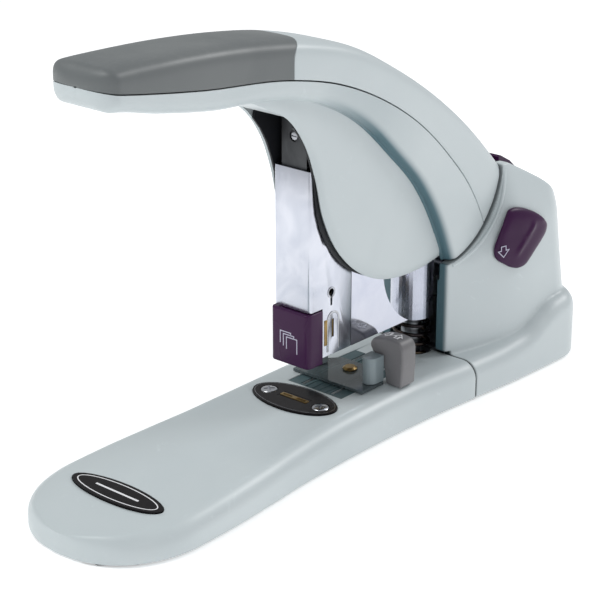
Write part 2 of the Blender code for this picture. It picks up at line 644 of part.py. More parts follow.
def make_drawer(axis):
    """The staple drawer, which slides out of the front of the head, and its pusher."""
    inner = HEAD_HALF_WIDTH - SHEET
    cap_half = HEAD_HALF_WIDTH + CAP_OVERHANG
    rear = CAP_FRONT + CAP_LENGTH
    top = CAP_BOTTOM + CAP_HEIGHT
    plan = [(-cap_half, rear), (-cap_half, CAP_FRONT + 0.0022), (-cap_half + 0.0022, CAP_FRONT),
            (cap_half - 0.0022, CAP_FRONT), (cap_half, CAP_FRONT + 0.0022), (cap_half, rear)]
    cap = prism("cap", "Z", plan, CAP_BOTTOM, top)
    cut(cap,
        box("hollow", (-inner, inner), (-0.0010, 0.02), (0.0, top - 0.0050)),
        box("blade slot", (-BLADE_HALF_WIDTH - 0.0005, BLADE_HALF_WIDTH + 0.0005), (-0.0010, 0.0016), (0.0, 0.1)))
    finish(cap, "drawer_cap", PURPLE, axis)

    half = inner - 0.00035
    floor = SHEATH_BOTTOM + 0.0003
    start = rear + GAP
    end = start + DRAWER_LENGTH
    channel = prism("channel", "Y", rectangle(-half, half, floor, floor + DRAWER_HEIGHT), start, end)
    cut(channel, box("inside", (-half + 0.001, half - 0.001), (start - 0.01, end - 0.001),
                     (floor + 0.001, floor + 0.05)))
    wide = BLADE_HALF_WIDTH + 2 * GAP
    blade_room = (DRAWER_TRAVEL - RUN_GAP, DRAWER_TRAVEL + BLADE_THICKNESS + RUN_GAP)
    cut(channel, box("room for blade", (-wide, wide), blade_room, (0.0, floor + 0.005)))
    finish(channel, "drawer_channel", BRASS, axis)

    base = floor + 0.001 + GAP
    rail_start = 0.0022
    rail = prism("rail", "Y", rectangle(-RAIL_HALF_WIDTH, RAIL_HALF_WIDTH, base, base + RAIL_HEIGHT),
                 rail_start, DRAWER_TRAVEL - RUN_GAP)
    cut(rail, box("under rail", (-RAIL_HALF_WIDTH + 0.0012, RAIL_HALF_WIDTH - 0.0012),
                  (rail_start - 0.01, end + 0.01), (0.0, base + RAIL_HEIGHT - 0.0012)))
    finish(rail, "staple_rail", STEEL, axis)

    latch = box("latch", (-0.0035, 0.0035), (end + GAP, end + 0.0022), (floor, floor + 0.012))
    finish(latch, "drawer_latch", DULL_STEEL, axis)
    return base, rail_start


def make_pusher(axis, base, rail_start):
    clear = RAIL_HALF_WIDTH + GAP
    half = HEAD_HALF_WIDTH - SHEET - 0.00135 - GAP
    front = rail_start + 0.0010
    top = base + RAIL_HEIGHT + 0.0028
    pusher = box("pusher", (-half, half), (front + 0.0047, front + 0.0107), (base + GAP, top))
    cut(pusher, box("rail slot", (-clear, clear), (front - 0.01, front + 0.02), (0.0, base + RAIL_HEIGHT + GAP)))
    add(pusher, box("nose", (-BLADE_HALF_WIDTH, BLADE_HALF_WIDTH), (front, front + 0.006),
                    (base + RAIL_HEIGHT + GAP, top - 0.0008)))
    finish(pusher, "staple_pusher", BLACK, axis)
    roll_y = front + 0.0107 + GAP + ROLL_RADIUS
    roll_z = base + RAIL_HEIGHT + GAP + ROLL_RADIUS
    roll = rod("roll", (roll_y, roll_z), ROLL_RADIUS, -0.0040, 0.0040, 20)
    cut(roll, rod("bore", (roll_y, roll_z), 0.5 * ROLL_RADIUS, -0.01, 0.01, 14))
    finish(roll, "pusher_spring", STEEL, axis)


def make_driver(axis):
    blade_front = SHEATH_FRONT + SHEET + 0.00035
    back = blade_front + BLADE_THICKNESS
    tip = CAP_BOTTOM + 0.0187
    wide = BLADE_HALF_WIDTH + 0.0011
    shape = [(-BLADE_HALF_WIDTH, tip), (BLADE_HALF_WIDTH, tip), (BLADE_HALF_WIDTH, 0.1300), (wide, 0.1320),
             (wide, 0.1585), (-wide, 0.1585), (-wide, 0.1320), (-BLADE_HALF_WIDTH, 0.1300)]
    screw_at = (0.0, 0.1485)
    blade = prism("blade", "Y", shape, blade_front, back)
    sunk = blade_front + 0.6 * BLADE_THICKNESS
    cut(blade,
        rod("screw hole", screw_at, 0.0016 + GAP, -0.01, 0.02, 16, "Y"),
        rod("head recess", screw_at, 0.0024 + GAP, -0.01, sunk, 20, "Y"))
    finish(blade, "driver_blade", BLACK_STEEL, axis)
    carrier = box("carrier", (-wide - 0.0002, wide + 0.0002), (back + GAP, back + 0.0140), (0.1300, 0.1590))
    cut(carrier, rod("thread", screw_at, 0.0016 + GAP, -0.01, back + 0.009, 16, "Y"))
    finish(carrier, "driver_carrier", BLACK_STEEL, axis)
    head = rod("head", screw_at, 0.0024, blade_front, sunk - GAP / 2, 20, "Y")
    add(head, rod("shank", screw_at, 0.0016, blade_front + 0.0002, back + 0.008, 16, "Y"))
    finish(head, "driver_screw", STEEL, axis)


# ---- handle -------------------------------------------------------------------------------------
def handle_line(height, start=-0.2, end=0.2):
    """A line along the handle, at a share of its height above its lower edge, between two places."""
    return [(low_y + height * (top_y - low_y), low_z + height * (top_z - low_z))
            for top_y, top_z, low_y, low_z, _ in HANDLE_CURVE if start < low_y < end]


def handle_section(row, inset):
    top_y, top_z, low_y, low_z, share = row
    height = math.hypot(top_y - low_y, top_z - low_z)
    up = ((top_y - low_y) / height, (top_z - low_z) / height)
    half = HANDLE_HALF_WIDTH * share - inset
    lower = max(min(0.0050, 0.35 * height) - inset, 0.0008)
    upper = max(min(0.0075, 0.40 * height) - inset, 0.0010)
    low, high = inset, height - inset
    right = arc((half - lower, low + lower), lower, -86.0, 0.0, 4)
    right += arc((half - upper - 0.0004, high - upper - 0.0006), upper, 0.0, 80.0, 5)
    right += [(0.45 * half, high)]
    loop = right + [(-x, h) for x, h in reversed(right)]
    return [(x, low_y + up[0] * h, low_z + up[1] * h) for x, h in loop]


def handle_solid(name, inset=0.0, grip_inset=0.0):
    """The handle's outside, or a smaller solid inside it, smaller still where the soft grip is."""
    rows = list(HANDLE_CURVE)
    if inset > 0.0:
        nose = HANDLE_CURVE[0][0] + inset + grip_inset
        first = [np.interp(nose, HANDLE_CURVE[:, 0], column) for column in HANDLE_CURVE.T]
        rows = [first] + [row for row in rows if row[0] > nose + WALL_STEP]
    grip_end = PAD_END + 2 * SHELL_WALL
    return loft(name, [handle_section(row, inset + (grip_inset if row[0] < grip_end else 0.0)) for row in rows])


def handle_end():
    """Everything in front of the round end of the handle, in side view."""
    y, z = HANDLE_PIVOT
    return [(-0.25, 0.02), (y - 0.004, 0.02)] + arc(HANDLE_PIVOT, HANDLE_END_RADIUS, -90.0, 32.0, 20) + [
        (y + 0.06, z + 0.15), (-0.25, z + 0.15)]


def seam_region(above):
    """Side view of what lies above or below the joint between the handle's covers."""
    shift = GAP / 2 if above else -GAP / 2
    edge = [(y, z + shift) for y, z in spline(HANDLE_SEAM, 24)]
    far = 0.30 if above else 0.0
    return edge + [(0.20, edge[-1][1]), (0.20, far), (-0.20, far), (-0.20, edge[0][1])]


def pad_region():
    """Plan of the soft grip: it ends behind in a round tongue."""
    tongue = [(0.97 * HANDLE_HALF_WIDTH * math.cos(a),
               PAD_SIDE_END + (PAD_END - PAD_SIDE_END) * math.sin(a)) for a in np.linspace(0.0, math.pi, 13)]
    return [(0.05, -0.25), (0.05, PAD_SIDE_END)] + tongue + [(-0.05, PAD_SIDE_END), (-0.05, -0.25)]


def make_handle_covers(axis):
    top = handle_solid("top")
    keep(top, prism("above seam", "X", seam_region(True), -0.1, 0.1))
    keep(top, prism("end", "X", handle_end(), -0.1, 0.1))
    pad = top.copy()
    pad.data = top.data.copy()
    bpy.context.scene.collection.objects.link(pad)
    keep(pad, prism("pad zone", "Z", pad_region(), 0.0, 0.4))
    cut(pad, handle_solid("under pad", PAD_THICKNESS))
    seat = prism("pad seat zone", "Z", [(x, y + (GAP if y > -0.2 else 0.0)) for x, y in pad_region()], 0.0, 0.4)
    cut(seat, handle_solid("pad core", PAD_THICKNESS + GAP))
    cut(top, seat)
    cut(top, handle_solid("hollow", SHELL_WALL, PAD_THICKNESS))
    finish(top, "handle_top_cover", PALE, axis)
    finish(pad, "grip_pad", PAD_GREY, axis)


def make_handle_sides(axis):
    edge = [tuple(p) for p in spline(TEARDROP_EDGE, 22)]
    inside = handle_line(0.07, -0.034, 0.0955)
    hanging = edge + list(reversed(inside))
    start = TEARDROP_EDGE[0]
    lip = [(start[0] - 0.027, start[1] + 0.0140), start, (start[0] + 0.0012, start[1] + 0.0024),
           (start[0] + 0.0012, start[1] + 0.0110), (start[0] - 0.024, start[1] + 0.0160)]
    opening = [(start[0] + 0.0012, 0.140), (start[0] + 0.0012, 0.1745)]
    opening += handle_line(0.30, start[0] + 0.006) + [(0.10, 0.02), (0.0, 0.02)]
    shell = handle_solid("side")
    keep(shell, prism("below seam", "X", seam_region(False), -0.1, 0.1))
    keep(shell, prism("end", "X", handle_end(), -0.1, 0.1))
    cut(shell, handle_solid("hollow", SHELL_WALL))
    cut(shell, prism("opening", "X", opening, -COVER_INNER, COVER_INNER))
    add(shell, prism("teardrop", "X", hanging, COVER_INNER, COVER_OUTER))
    add(shell, prism("lip", "X", lip, -COVER_OUTER + 0.0002, COVER_OUTER - 0.0002))
    keep(shell, box("half", (GAP / 2, 0.1), (-0.3, 0.3), (-0.1, 0.4)))
    finish(mirrored(shell), "handle_side_left", PALE, axis)
    finish(shell, "handle_side_right", PALE, axis)


def make_handle_frame(axis):
    """Black steel frame inside the handle: two cheeks beside the head, joined along their top."""
    edge = spline(TEARDROP_EDGE, 22)
    ahead = np.gradient(edge, axis=0)
    ahead /= np.linalg.norm(ahead, axis=1)[:, None]
    heights, shows = zip(*CHEEK_SHOWS)
    front = []
    for point, way in zip(edge[:-2], ahead):
        reach = float(np.interp(point[1], heights, shows))
        front.append((point[0] + way[1] * reach, point[1] - way[0] * reach))
    front = [p for p in front if p[1] < TEARDROP_EDGE[0][1] - 0.0034]
    pivot_boss = arc(HANDLE_PIVOT, 0.0110, -60.0, 70.0, 8)
    ridge = handle_line(0.33, -0.014, 0.060)
    outline = front + [(0.0830, 0.0720)] + pivot_boss + list(reversed(ridge))
    roller = (0.0120, 0.1630)
    web_low = handle_line(0.27, -0.014, 0.045)
    web_high = handle_line(0.325, -0.014, 0.045)
    frame = prism("web", "X", web_low + list(reversed(web_high)), -FRAME_INNER - 0.0003, FRAME_INNER + 0.0003)
    for side in (-1, 1):
        low, high = sorted((side * FRAME_INNER, side * FRAME_OUTER))
        add(frame, prism("cheek", "X", outline, low, high))
    cut(frame,
        rod("pin hole", HANDLE_PIVOT, PIN_RADIUS + GAP / 3, -0.02, 0.02),
        rod("axle hole", roller, 0.0020 + GAP / 3, -0.02, 0.02))
    finish(frame, "handle_frame", BLACK_STEEL, axis)
    axle = rod("axle", roller, 0.0020, -FRAME_OUTER, FRAME_OUTER, 18)
    finish(axle, "roller_axle", STEEL, axis)
    wheel = rod("roller", roller, 0.0035, -HEAD_HALF_WIDTH + 0.001, HEAD_HALF_WIDTH - 0.001, 24)
    cut(wheel, rod("bore", roller, 0.0020 + GAP / 3, -0.02, 0.02))
    finish(wheel, "press_roller", STEEL, axis)

    low_line = handle_line(0.34, -0.112, -0.036)
    high_line = handle_line(0.62, -0.112, -0.036)
    bar = prism("bar", "X", low_line + list(reversed(high_line)), -0.008, 0.008)
    finish(bar, "handle_bar", DULL_STEEL, axis)


# ---- depth guide --------------------------------------------------------------------------------
def make_guide(axis):
    """The paper stop, which slides along the track behind the anvil."""
    low = BASE_HEIGHT + GAP
    high = low + 0.0014
    reach = 0.0215
    rear = GUIDE_Y + GUIDE_DEPTH
    plan = [(-reach, GUIDE_Y), (reach, GUIDE_Y), (reach, GUIDE_Y + 0.016), (0.0120, rear), (-0.0120, rear),
            (-reach, GUIDE_Y + 0.016)]
    bar = prism("bar", "Z", plan, low, high)
    for side in (-1, 1):
        foot = box("foot", (side * GUIDE_SLOT_X - 0.0008, side * GUIDE_SLOT_X + 0.0008),
                   (GUIDE_Y + 0.003, GUIDE_Y + 0.020), (low - 0.0035, low + 0.0002))
        add(bar, foot)
    finish(bar, "guide_bar", STOP_GREY, axis)
    rivet = turned("rivet", [(0.0036, high + GAP), (0.0036, high + GAP + 0.0006), (0.0026, high + GAP + 0.0014)],
                   (0.0, GUIDE_Y + 0.0170), 24)
    finish(rivet, "guide_rivet", BRASS, axis)
    for side in (-1, 1):
        inner, outer = 0.0135, 0.0212
        mid_y = GUIDE_Y + 0.0125
        plan = [(side * inner, mid_y + 0.004), (side * inner, mid_y - 0.0010)]
        plan += [(side * (inner + outer) / 2 + side * (outer - inner) / 2 * math.sin(a) * 0.999,
                  mid_y - 0.0010 - 0.0042 * math.cos(a)) for a in np.linspace(-1.3, 1.3, 9)]
        plan += [(side * outer, mid_y - 0.0010), (side * outer, mid_y + 0.004)]
        stop = prism("stop", "Z", plan, high + GAP, high + GAP + 0.0130)
        finish(stop, "guide_stop_right" if side > 0 else "guide_stop_left", STOP_GREY, axis)
    front = GUIDE_Y + 0.0170
    face = [(0.0222, low), (0.0312, low), (0.0320, 0.0375), (0.0310, 0.0422), (0.0270, 0.0446),
            (0.0190, 0.0442), (0.0136, 0.0420), (0.0120, 0.0394), (0.0132, 0.0368), (0.0180, 0.0335),
            (0.0214, 0.0285)]
    knob = prism("knob", "Y", face, front, front + 0.0105)
    finish(bevelled(knob, 0.0009), "guide_knob", KNOB_GREY, axis)


# ---- jam release --------------------------------------------------------------------------------
def button_outline():
    """Side view of a push button: a slanted rounded plate, in front of and below its shaft."""
    y, z = RELEASE_PIVOT
    corners = [(-0.0169, 0.0086), (-0.0045, 0.0054), (0.0045, 0.0002), (0.0072, -0.0036), (0.0064, -0.0088),
               (-0.0011, -0.0161), (-0.0087, -0.0221), (-0.0135, -0.0236), (-0.0185, -0.0214),
               (-0.0265, -0.0164), (-0.0294, -0.0111), (-0.0270, -0.0033), (-0.0213, 0.0059)]
    return [(y + a, z + b) for a, b in corners]


def make_release(axis):
    for side in (-1, 1):
        low, high = sorted((side * 0.022, side * 0.06))
        button = prism("button", "X", button_outline(), low, high)
        keep(button, pedestal_solid("outer face", -0.0034))
        cut(button, pedestal_solid("wall", -0.0010, 0.012, 0.113))
        cut(button, rod("bore", RELEASE_PIVOT, RELEASE_SHAFT_RADIUS + GAP, -0.034, 0.034, 16))
        finish(bevelled(button, 0.0012), "release_button_right" if side > 0 else "release_button_left",
               PURPLE, axis)
    shaft = rod("shaft", RELEASE_PIVOT, RELEASE_SHAFT_RADIUS, -0.0337, 0.0337)
    finish(shaft, "release_shaft", STEEL, axis)
    tab = prism("tab", "X", release_tab_outline(), -0.0095, 0.0095)
    cut(tab, rod("bore", RELEASE_PIVOT, RELEASE_SHAFT_RADIUS + GAP / 2, -0.02, 0.02, 16))
    finish(tab, "release_tab", PURPLE, axis)


# ---- assembly -----------------------------------------------------------------------------------
for old in list(bpy.data.objects):
    bpy.data.objects.remove(old)

HANDLE_CURVE = spline(HANDLE_STATIONS, 24)

make_base()
make_anvil()
make_housing()
make_yoke()
make_spring()
head_axis = joint_axis("head_axis", SPRING_Y, CUP_BOTTOM)
make_head(head_axis)
drawer_axis = joint_axis("drawer_axis", 0.0, SHEATH_BOTTOM)
rail_base, rail_front = make_drawer(drawer_axis)
pusher_axis = joint_axis("pusher_axis", rail_front, rail_base)
make_pusher(pusher_axis, rail_base, rail_front)
make_driver(joint_axis("driver_axis", 0.0, SHEATH_TOP))
handle_axis = joint_axis("handle_axis", *HANDLE_PIVOT)
make_handle_covers(handle_axis)
make_handle_sides(handle_axis)
make_handle_frame(handle_axis)
make_guide(joint_axis("guide_axis", GUIDE_Y, BASE_HEIGHT))
make_release(joint_axis("release_axis", *RELEASE_PIVOT))
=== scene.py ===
import math
import bmesh
import bpy
import numpy as np
from mathutils import Matrix, Vector


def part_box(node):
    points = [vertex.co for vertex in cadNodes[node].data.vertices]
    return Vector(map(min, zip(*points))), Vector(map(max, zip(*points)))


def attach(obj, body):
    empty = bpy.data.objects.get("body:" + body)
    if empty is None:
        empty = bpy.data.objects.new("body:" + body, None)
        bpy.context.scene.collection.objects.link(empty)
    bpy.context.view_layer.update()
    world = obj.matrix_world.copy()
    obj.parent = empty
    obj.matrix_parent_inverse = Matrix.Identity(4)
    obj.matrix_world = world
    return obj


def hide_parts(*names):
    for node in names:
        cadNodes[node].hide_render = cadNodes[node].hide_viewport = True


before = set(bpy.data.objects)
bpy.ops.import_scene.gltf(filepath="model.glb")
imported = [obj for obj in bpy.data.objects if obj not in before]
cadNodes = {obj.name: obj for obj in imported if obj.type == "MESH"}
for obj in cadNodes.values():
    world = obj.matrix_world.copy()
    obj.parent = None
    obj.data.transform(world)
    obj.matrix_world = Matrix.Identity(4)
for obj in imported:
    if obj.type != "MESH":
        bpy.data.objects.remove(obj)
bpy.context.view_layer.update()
anvilLow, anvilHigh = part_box("anvil_plate")
driverY = (anvilLow.y + anvilHigh.y) / 2  # shapes below are drawn from the driver plane, then moved here
scene = bpy.context.scene


# ---- small modelling tools ----
def curveAt(points, count=None, places=None):
    knots = np.array(points, float)
    steps = np.maximum(np.linalg.norm(np.diff(knots[:, :2], axis=0), axis=1), 1e-6)
    at = np.concatenate([[0.0], np.cumsum(steps)])
    slopes = np.gradient(knots, at, axis=0)
    places = np.linspace(0.0, at[-1], count) if places is None else np.array(places)
    i = np.clip(np.searchsorted(at, places, side="right") - 1, 0, len(at) - 2)
    span = (at[i + 1] - at[i])[:, None]
    t = (places - at[i])[:, None] / span
    return ((2 * t**3 - 3 * t**2 + 1) * knots[i] + (t**3 - 2 * t**2 + t) * span * slopes[i]
            + (3 * t**2 - 2 * t**3) * knots[i + 1] + (t**3 - t**2) * span * slopes[i + 1])


def closedCurve(points, count):
    ring = np.array(points, float)
    around = np.vstack([ring[-3:], ring, ring[:4]])
    at = np.concatenate([[0.0], np.cumsum(np.linalg.norm(np.diff(around, axis=0), axis=1))])
    return curveAt(around, places=np.linspace(at[3], at[3 + len(ring)], count, endpoint=False))


def arcPoints(centre, radius, start, end, count):
    turns = np.radians(np.linspace(start, end, count))
    return [(centre[0] + radius * math.cos(a), centre[1] + radius * math.sin(a)) for a in turns]


def ovalPoints(centre, halfLength, halfDepth, count=72):
    turns = np.linspace(0.0, 2 * math.pi, count, endpoint=False)
    return [(centre[0] + halfLength * math.cos(a), centre[1] + halfDepth * math.sin(a)) for a in turns]


def rectPoints(lowA, highA, lowB, highB):
    return [(lowA, lowB), (highA, lowB), (highA, highB), (lowA, highB)]


def addShape(name, verts, faces, fixNormals=True):
    mesh = bpy.data.meshes.new(name)
    mesh.from_pydata([tuple(v) for v in verts], [], faces)
    if fixNormals:
        work = bmesh.new()
        work.from_mesh(mesh)
        bmesh.ops.recalc_face_normals(work, faces=work.faces)
        work.to_mesh(mesh)
        work.free()
    obj = bpy.data.objects.new(name, mesh)
    scene.collection.objects.link(obj)
    return obj


def loftShape(name, loops):
    count = len(loops[0])
    verts = [p for loop in loops for p in loop]
    faces = []
    for i in range(len(loops) - 1):
        for j in range(count):
            k = (j + 1) % count
            faces.append((i * count + j, i * count + k, (i + 1) * count + k, (i + 1) * count + j))
    last = (len(loops) - 1) * count
    faces.append(tuple(range(count))[::-1])
    faces.append(tuple(range(last, last + count)))
    return addShape(name, verts, faces)


def prismShape(name, axis, outline, low, high):
    def level(at):
        if axis == "X":
            return [(at, a, b) for a, b in outline]
        if axis == "Y":
            return [(a, at, b) for a, b in outline]
        return [(a, b, at) for a, b in outline]
    return loftShape(name, [level(low), level(high)])


def boxShape(name, xs, ys, zs):
    return prismShape(name, "X", rectPoints(*ys, *zs), *xs)


def rodShape(name, axis, centre, radius, low, high, sides=48):
    return prismShape(name, axis, ovalPoints(centre, radius, radius, sides), low, high)


def turnedShape(name, profile, sides=48):
    return loftShape(name, [[(x, y, z) for x, y in ovalPoints((0, 0), r, r, sides)] for r, z in profile])


def gridShape(name, grid, outward):
    # an open sheet from a grid of points; outward is a direction its middle must face
    rows, cols = grid.shape[:2]
    verts = grid.reshape(-1, 3)
    faces = []
    for i in range(rows - 1):
        for j in range(cols - 1):
            faces.append((i * cols + j, i * cols + j + 1, (i + 1) * cols + j + 1, (i + 1) * cols + j))
    a, b, c = grid[rows // 2, cols // 2], grid[rows // 2 + 1, cols // 2], grid[rows // 2, cols // 2 + 1]
    if np.dot(np.cross(c - a, b - a), outward) < 0:
        faces = [f[::-1] for f in faces]
    return addShape(name, verts, faces, fixNormals=False)


def settle(obj):
    # turns live modifiers into plain mesh
    bpy.context.view_layer.update()
    graph = bpy.context.evaluated_depsgraph_get()
    made = bpy.data.meshes.new_from_object(obj.evaluated_get(graph))
    obj.modifiers.clear()
    obj.data = made
    return obj


def combine(target, operation, *tools):
    for tool in tools:
        step = target.modifiers.new(operation, "BOOLEAN")
        step.operation = operation
        step.object = tool
        settle(target)
        bpy.data.objects.remove(tool)
    return target


def carve(target, *tools):
    return combine(target, "DIFFERENCE", *tools)


def thicken(obj, depth):
    step = obj.modifiers.new("wall", "SOLIDIFY")
    step.thickness = depth
    step.offset = -1.0
    step.use_even_offset = False
    return settle(obj)


def softEdges(obj, width, segments=3, angle=40.0):
    step = obj.modifiers.new("edges", "BEVEL")
    step.width = width
    step.segments = segments
    step.limit_method = "ANGLE"
    step.angle_limit = math.radians(angle)
    return settle(obj)


def mirroredCopy(obj, name):
    other = obj.copy()
    other.data = obj.data.copy()
    other.name = name
    scene.collection.objects.link(other)
    other.data.transform(Matrix.Diagonal((-1.0, 1.0, 1.0, 1.0)))
    other.data.flip_normals()
    return other


def paint(obj, name, rule):
    # stores how shaded or how deep in a joint each point lies, for the finish to read
    spots = np.empty(len(obj.data.vertices) * 3)
    obj.data.vertices.foreach_get("co", spots)
    spots = spots.reshape(-1, 3)
    layer = obj.data.attributes.get(name) or obj.data.attributes.new(name, "FLOAT", "POINT")
    layer.data.foreach_set("value", np.clip(rule(*spots.T), 0.0, 1.0).astype(np.float32))


def painted(obj, name):
    layer = obj.data.attributes.get(name)
    values = np.zeros(len(obj.data.vertices), np.float32)
    if layer:
        layer.data.foreach_get("value", values)
    return values


def joined(name, *parts):
    # several shapes as one mesh
    verts, faces = [], []
    shades = np.concatenate([painted(part, "shade") for part in parts])
    for part in parts:
        first = len(verts)
        verts += [tuple(v.co) for v in part.data.vertices]
        faces += [tuple(first + v for v in poly.vertices) for poly in part.data.polygons]
        bpy.data.objects.remove(part)
    whole = addShape(name, verts, faces, fixNormals=False)
    if shades.any():
        whole.data.attributes.new("shade", "FLOAT", "POINT").data.foreach_set("value", shades)
    return whole


def ribbonShape(name, path, width, toSpace, closed=False, depth=0.00008):
    # a thin raised line along a flat path; toSpace lays a flat point and a lift onto the real surface
    points = np.array(path, float)
    count = len(points)
    left, right = [], []
    for i in range(count):
        ways = []
        if closed or i > 0:
            ways.append(points[i] - points[i - 1])
        if closed or i < count - 1:
            ways.append(points[(i + 1) % count] - points[i])
        sides = [np.array((-w[1], w[0])) / np.linalg.norm(w) for w in ways]
        side = sum(sides) / np.linalg.norm(sum(sides))
        reach = 0.5 * width / max(float(np.dot(side, sides[0])), 0.4)
        left.append(points[i] + side * reach)
        right.append(points[i] - side * reach)
    verts = []
    for lift in (-depth, depth):
        verts += [toSpace(p, lift) for p in left] + [toSpace(p, lift) for p in right]
    faces = []
    for i in range(count if closed else count - 1):
        k = (i + 1) % count
        faces += [(i, k, count + k, count + i), (2 * count + i, 2 * count + k, 3 * count + k, 3 * count + i),
                  (i, k, 2 * count + k, 2 * count + i), (count + i, count + k, 3 * count + k, 3 * count + i)]
    if not closed:
        for i in (0, count - 1):
            faces.append((i, count + i, 3 * count + i, 2 * count + i))
    return addShape(name, verts, faces)


# ---- repeated pieces, grown by geometry nodes ----
def linkAll(tree, *pairs):
    for source, target in pairs:
        tree.links.new(source, target)


def nodeTree(name, inputs):
    tree = bpy.data.node_groups.new(name, "GeometryNodeTree")
    tree.interface.new_socket("Geometry", in_out="INPUT", socket_type="NodeSocketGeometry")
    for label, kind, value in inputs:
        socket = tree.interface.new_socket(label, in_out="INPUT", socket_type="NodeSocket" + kind)
        if value is not None:
            socket.default_value = value
    tree.interface.new_socket("Geometry", in_out="OUTPUT", socket_type="NodeSocketGeometry")
    return tree, tree.nodes.new("NodeGroupInput"), tree.nodes.new("NodeGroupOutput")


def finishTree(tree, given, out, geometry):
    real = tree.nodes.new("GeometryNodeRealizeInstances")
    dressed = tree.nodes.new("GeometryNodeSetMaterial")
    linkAll(tree, (geometry, real.inputs[0]), (real.outputs[0], dressed.inputs["Geometry"]),
            (given.outputs["Finish"], dressed.inputs["Material"]), (dressed.outputs[0], out.inputs[0]))
    return tree


def repeatTree():
    tree, given, out = nodeTree("repeatedPiece", [
        ("Source", "Object", None), ("Count", "Int", 2), ("Start", "Vector", None), ("Step", "Vector", None),
        ("Turn", "Float", 0.0), ("Seed", "Int", 7), ("Finish", "Material", None)])
    line = tree.nodes.new("GeometryNodeMeshLine")
    line.mode = "OFFSET"
    source = tree.nodes.new("GeometryNodeObjectInfo")
    turn = tree.nodes.new("FunctionNodeRandomValue")
    turn.data_type = "FLOAT"
    spin = tree.nodes.new("ShaderNodeCombineXYZ")
    put = tree.nodes.new("GeometryNodeInstanceOnPoints")
    linkAll(tree, (given.outputs["Count"], line.inputs["Count"]),
            (given.outputs["Start"], line.inputs["Start Location"]),
            (given.outputs["Step"], line.inputs["Offset"]), (given.outputs["Source"], source.inputs["Object"]),
            (given.outputs["Turn"], turn.inputs[3]),
            (given.outputs["Seed"], turn.inputs["Seed"]), (turn.outputs[1], spin.inputs["Z"]),
            (line.outputs["Mesh"], put.inputs["Points"]), (source.outputs["Geometry"], put.inputs["Instance"]),
            (spin.outputs[0], put.inputs["Rotation"]))
    return finishTree(tree, given, out, put.outputs[0])


repeatedPiece = repeatTree()


def coilTree():
    tree, given, out = nodeTree("coilSpring", [
        ("Turns", "Float", 11.0), ("Radius", "Float", 0.0085), ("Wire", "Float", 0.001),
        ("Height", "Float", 0.05), ("Centre", "Vector", None), ("Finish", "Material", None)])
    spiral = tree.nodes.new("GeometryNodeCurveSpiral")
    spiral.inputs["Resolution"].default_value = 40
    wireRing = tree.nodes.new("GeometryNodeCurvePrimitiveCircle")
    wireRing.inputs["Resolution"].default_value = 12
    sweep = tree.nodes.new("GeometryNodeCurveToMesh")
    sweep.inputs["Fill Caps"].default_value = True
    moved = tree.nodes.new("GeometryNodeTransform")
    linkAll(tree, (given.outputs["Turns"], spiral.inputs["Rotations"]),
            (given.outputs["Radius"], spiral.inputs["Start Radius"]),
            (given.outputs["Radius"], spiral.inputs["End Radius"]),
            (given.outputs["Height"], spiral.inputs["Height"]),
            (given.outputs["Wire"], wireRing.inputs["Radius"]), (spiral.outputs[0], sweep.inputs["Curve"]),
            (wireRing.outputs[0], sweep.inputs["Profile Curve"]), (sweep.outputs[0], moved.inputs["Geometry"]),
            (given.outputs["Centre"], moved.inputs["Translation"]))
    return finishTree(tree, given, out, moved.outputs[0])


def grown(name, tree, **values):
    carrier = addShape(name, [(0, 0, 0)], [])
    step = carrier.modifiers.new("grow", "NODES")
    step.node_group = tree
    for item in tree.interface.items_tree:
        if item.in_out == "INPUT" and item.name in values:
            step[item.identifier] = values[item.name]
    settle(carrier)
    if values.get("Source"):
        bpy.data.objects.remove(values["Source"])
    return carrier


def place(obj, name, body, slotName, mat, *standsFor, angle=35.0):
    # moves the mesh into the frame, gives it its finish, hangs it on its body and hides the CAD pieces it stands
    # for
    obj.name = name
    obj.data.name = name
    obj.data.transform(Matrix.Translation((0.0, driverY, 0.0)))
    obj.data.materials.clear()
    obj.data.materials.append(mat)
    obj.data.shade_smooth()
    obj.data.set_sharp_from_angle(angle=math.radians(angle))
    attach(obj, body)
    if standsFor:
        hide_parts(*standsFor)
    return obj


# ---- finishes ----
def newGroup(name, inputs, outputs):
    group = bpy.data.node_groups.new(name, "ShaderNodeTree")
    for label, value in inputs:
        group.interface.new_socket(label, in_out="INPUT", socket_type="NodeSocketFloat").default_value = value
    for label in outputs:
        group.interface.new_socket(label, in_out="OUTPUT", socket_type="NodeSocketFloat")
    return group, group.nodes.new("NodeGroupInput"), group.nodes.new("NodeGroupOutput")


def noiseNode(tree, vector, scale, detail, rough=0.55, distortion=0.0):
    node = tree.nodes.new("ShaderNodeTexNoise")
    node.inputs["Detail"].default_value = detail
    node.inputs["Roughness"].default_value = rough
    node.inputs["Distortion"].default_value = distortion
    tree.links.new(vector, node.inputs["Vector"])
    if isinstance(scale, (int, float)):
        node.inputs["Scale"].default_value = scale
    else:
        tree.links.new(scale, node.inputs["Scale"])
    return node.outputs["Fac"]


def rampNode(tree, value, low, high, outLow=0.0, outHigh=1.0):
    node = tree.nodes.new("ShaderNodeMapRange")
    node.interpolation_type = "SMOOTHSTEP"
    node.inputs["From Min"].default_value = low
    node.inputs["From Max"].default_value = high
    node.inputs["To Min"].default_value = outLow
    node.inputs["To Max"].default_value = outHigh
    tree.links.new(value, node.inputs["Value"])
    return node.outputs["Result"]


def mathNode(tree, operation, a, b):
    node = tree.nodes.new("ShaderNodeMath")
    node.operation = operation
    for k, value in enumerate((a, b)):
        if isinstance(value, (int, float)):
            node.inputs[k].default_value = value
        else:
            tree.links.new(value, node.inputs[k])
    return node.outputs["Value"]


def times(tree, a, b):
    return mathNode(tree, "MULTIPLY", a, b)


def plus(tree, a, b):
    return mathNode(tree, "ADD", a, b)


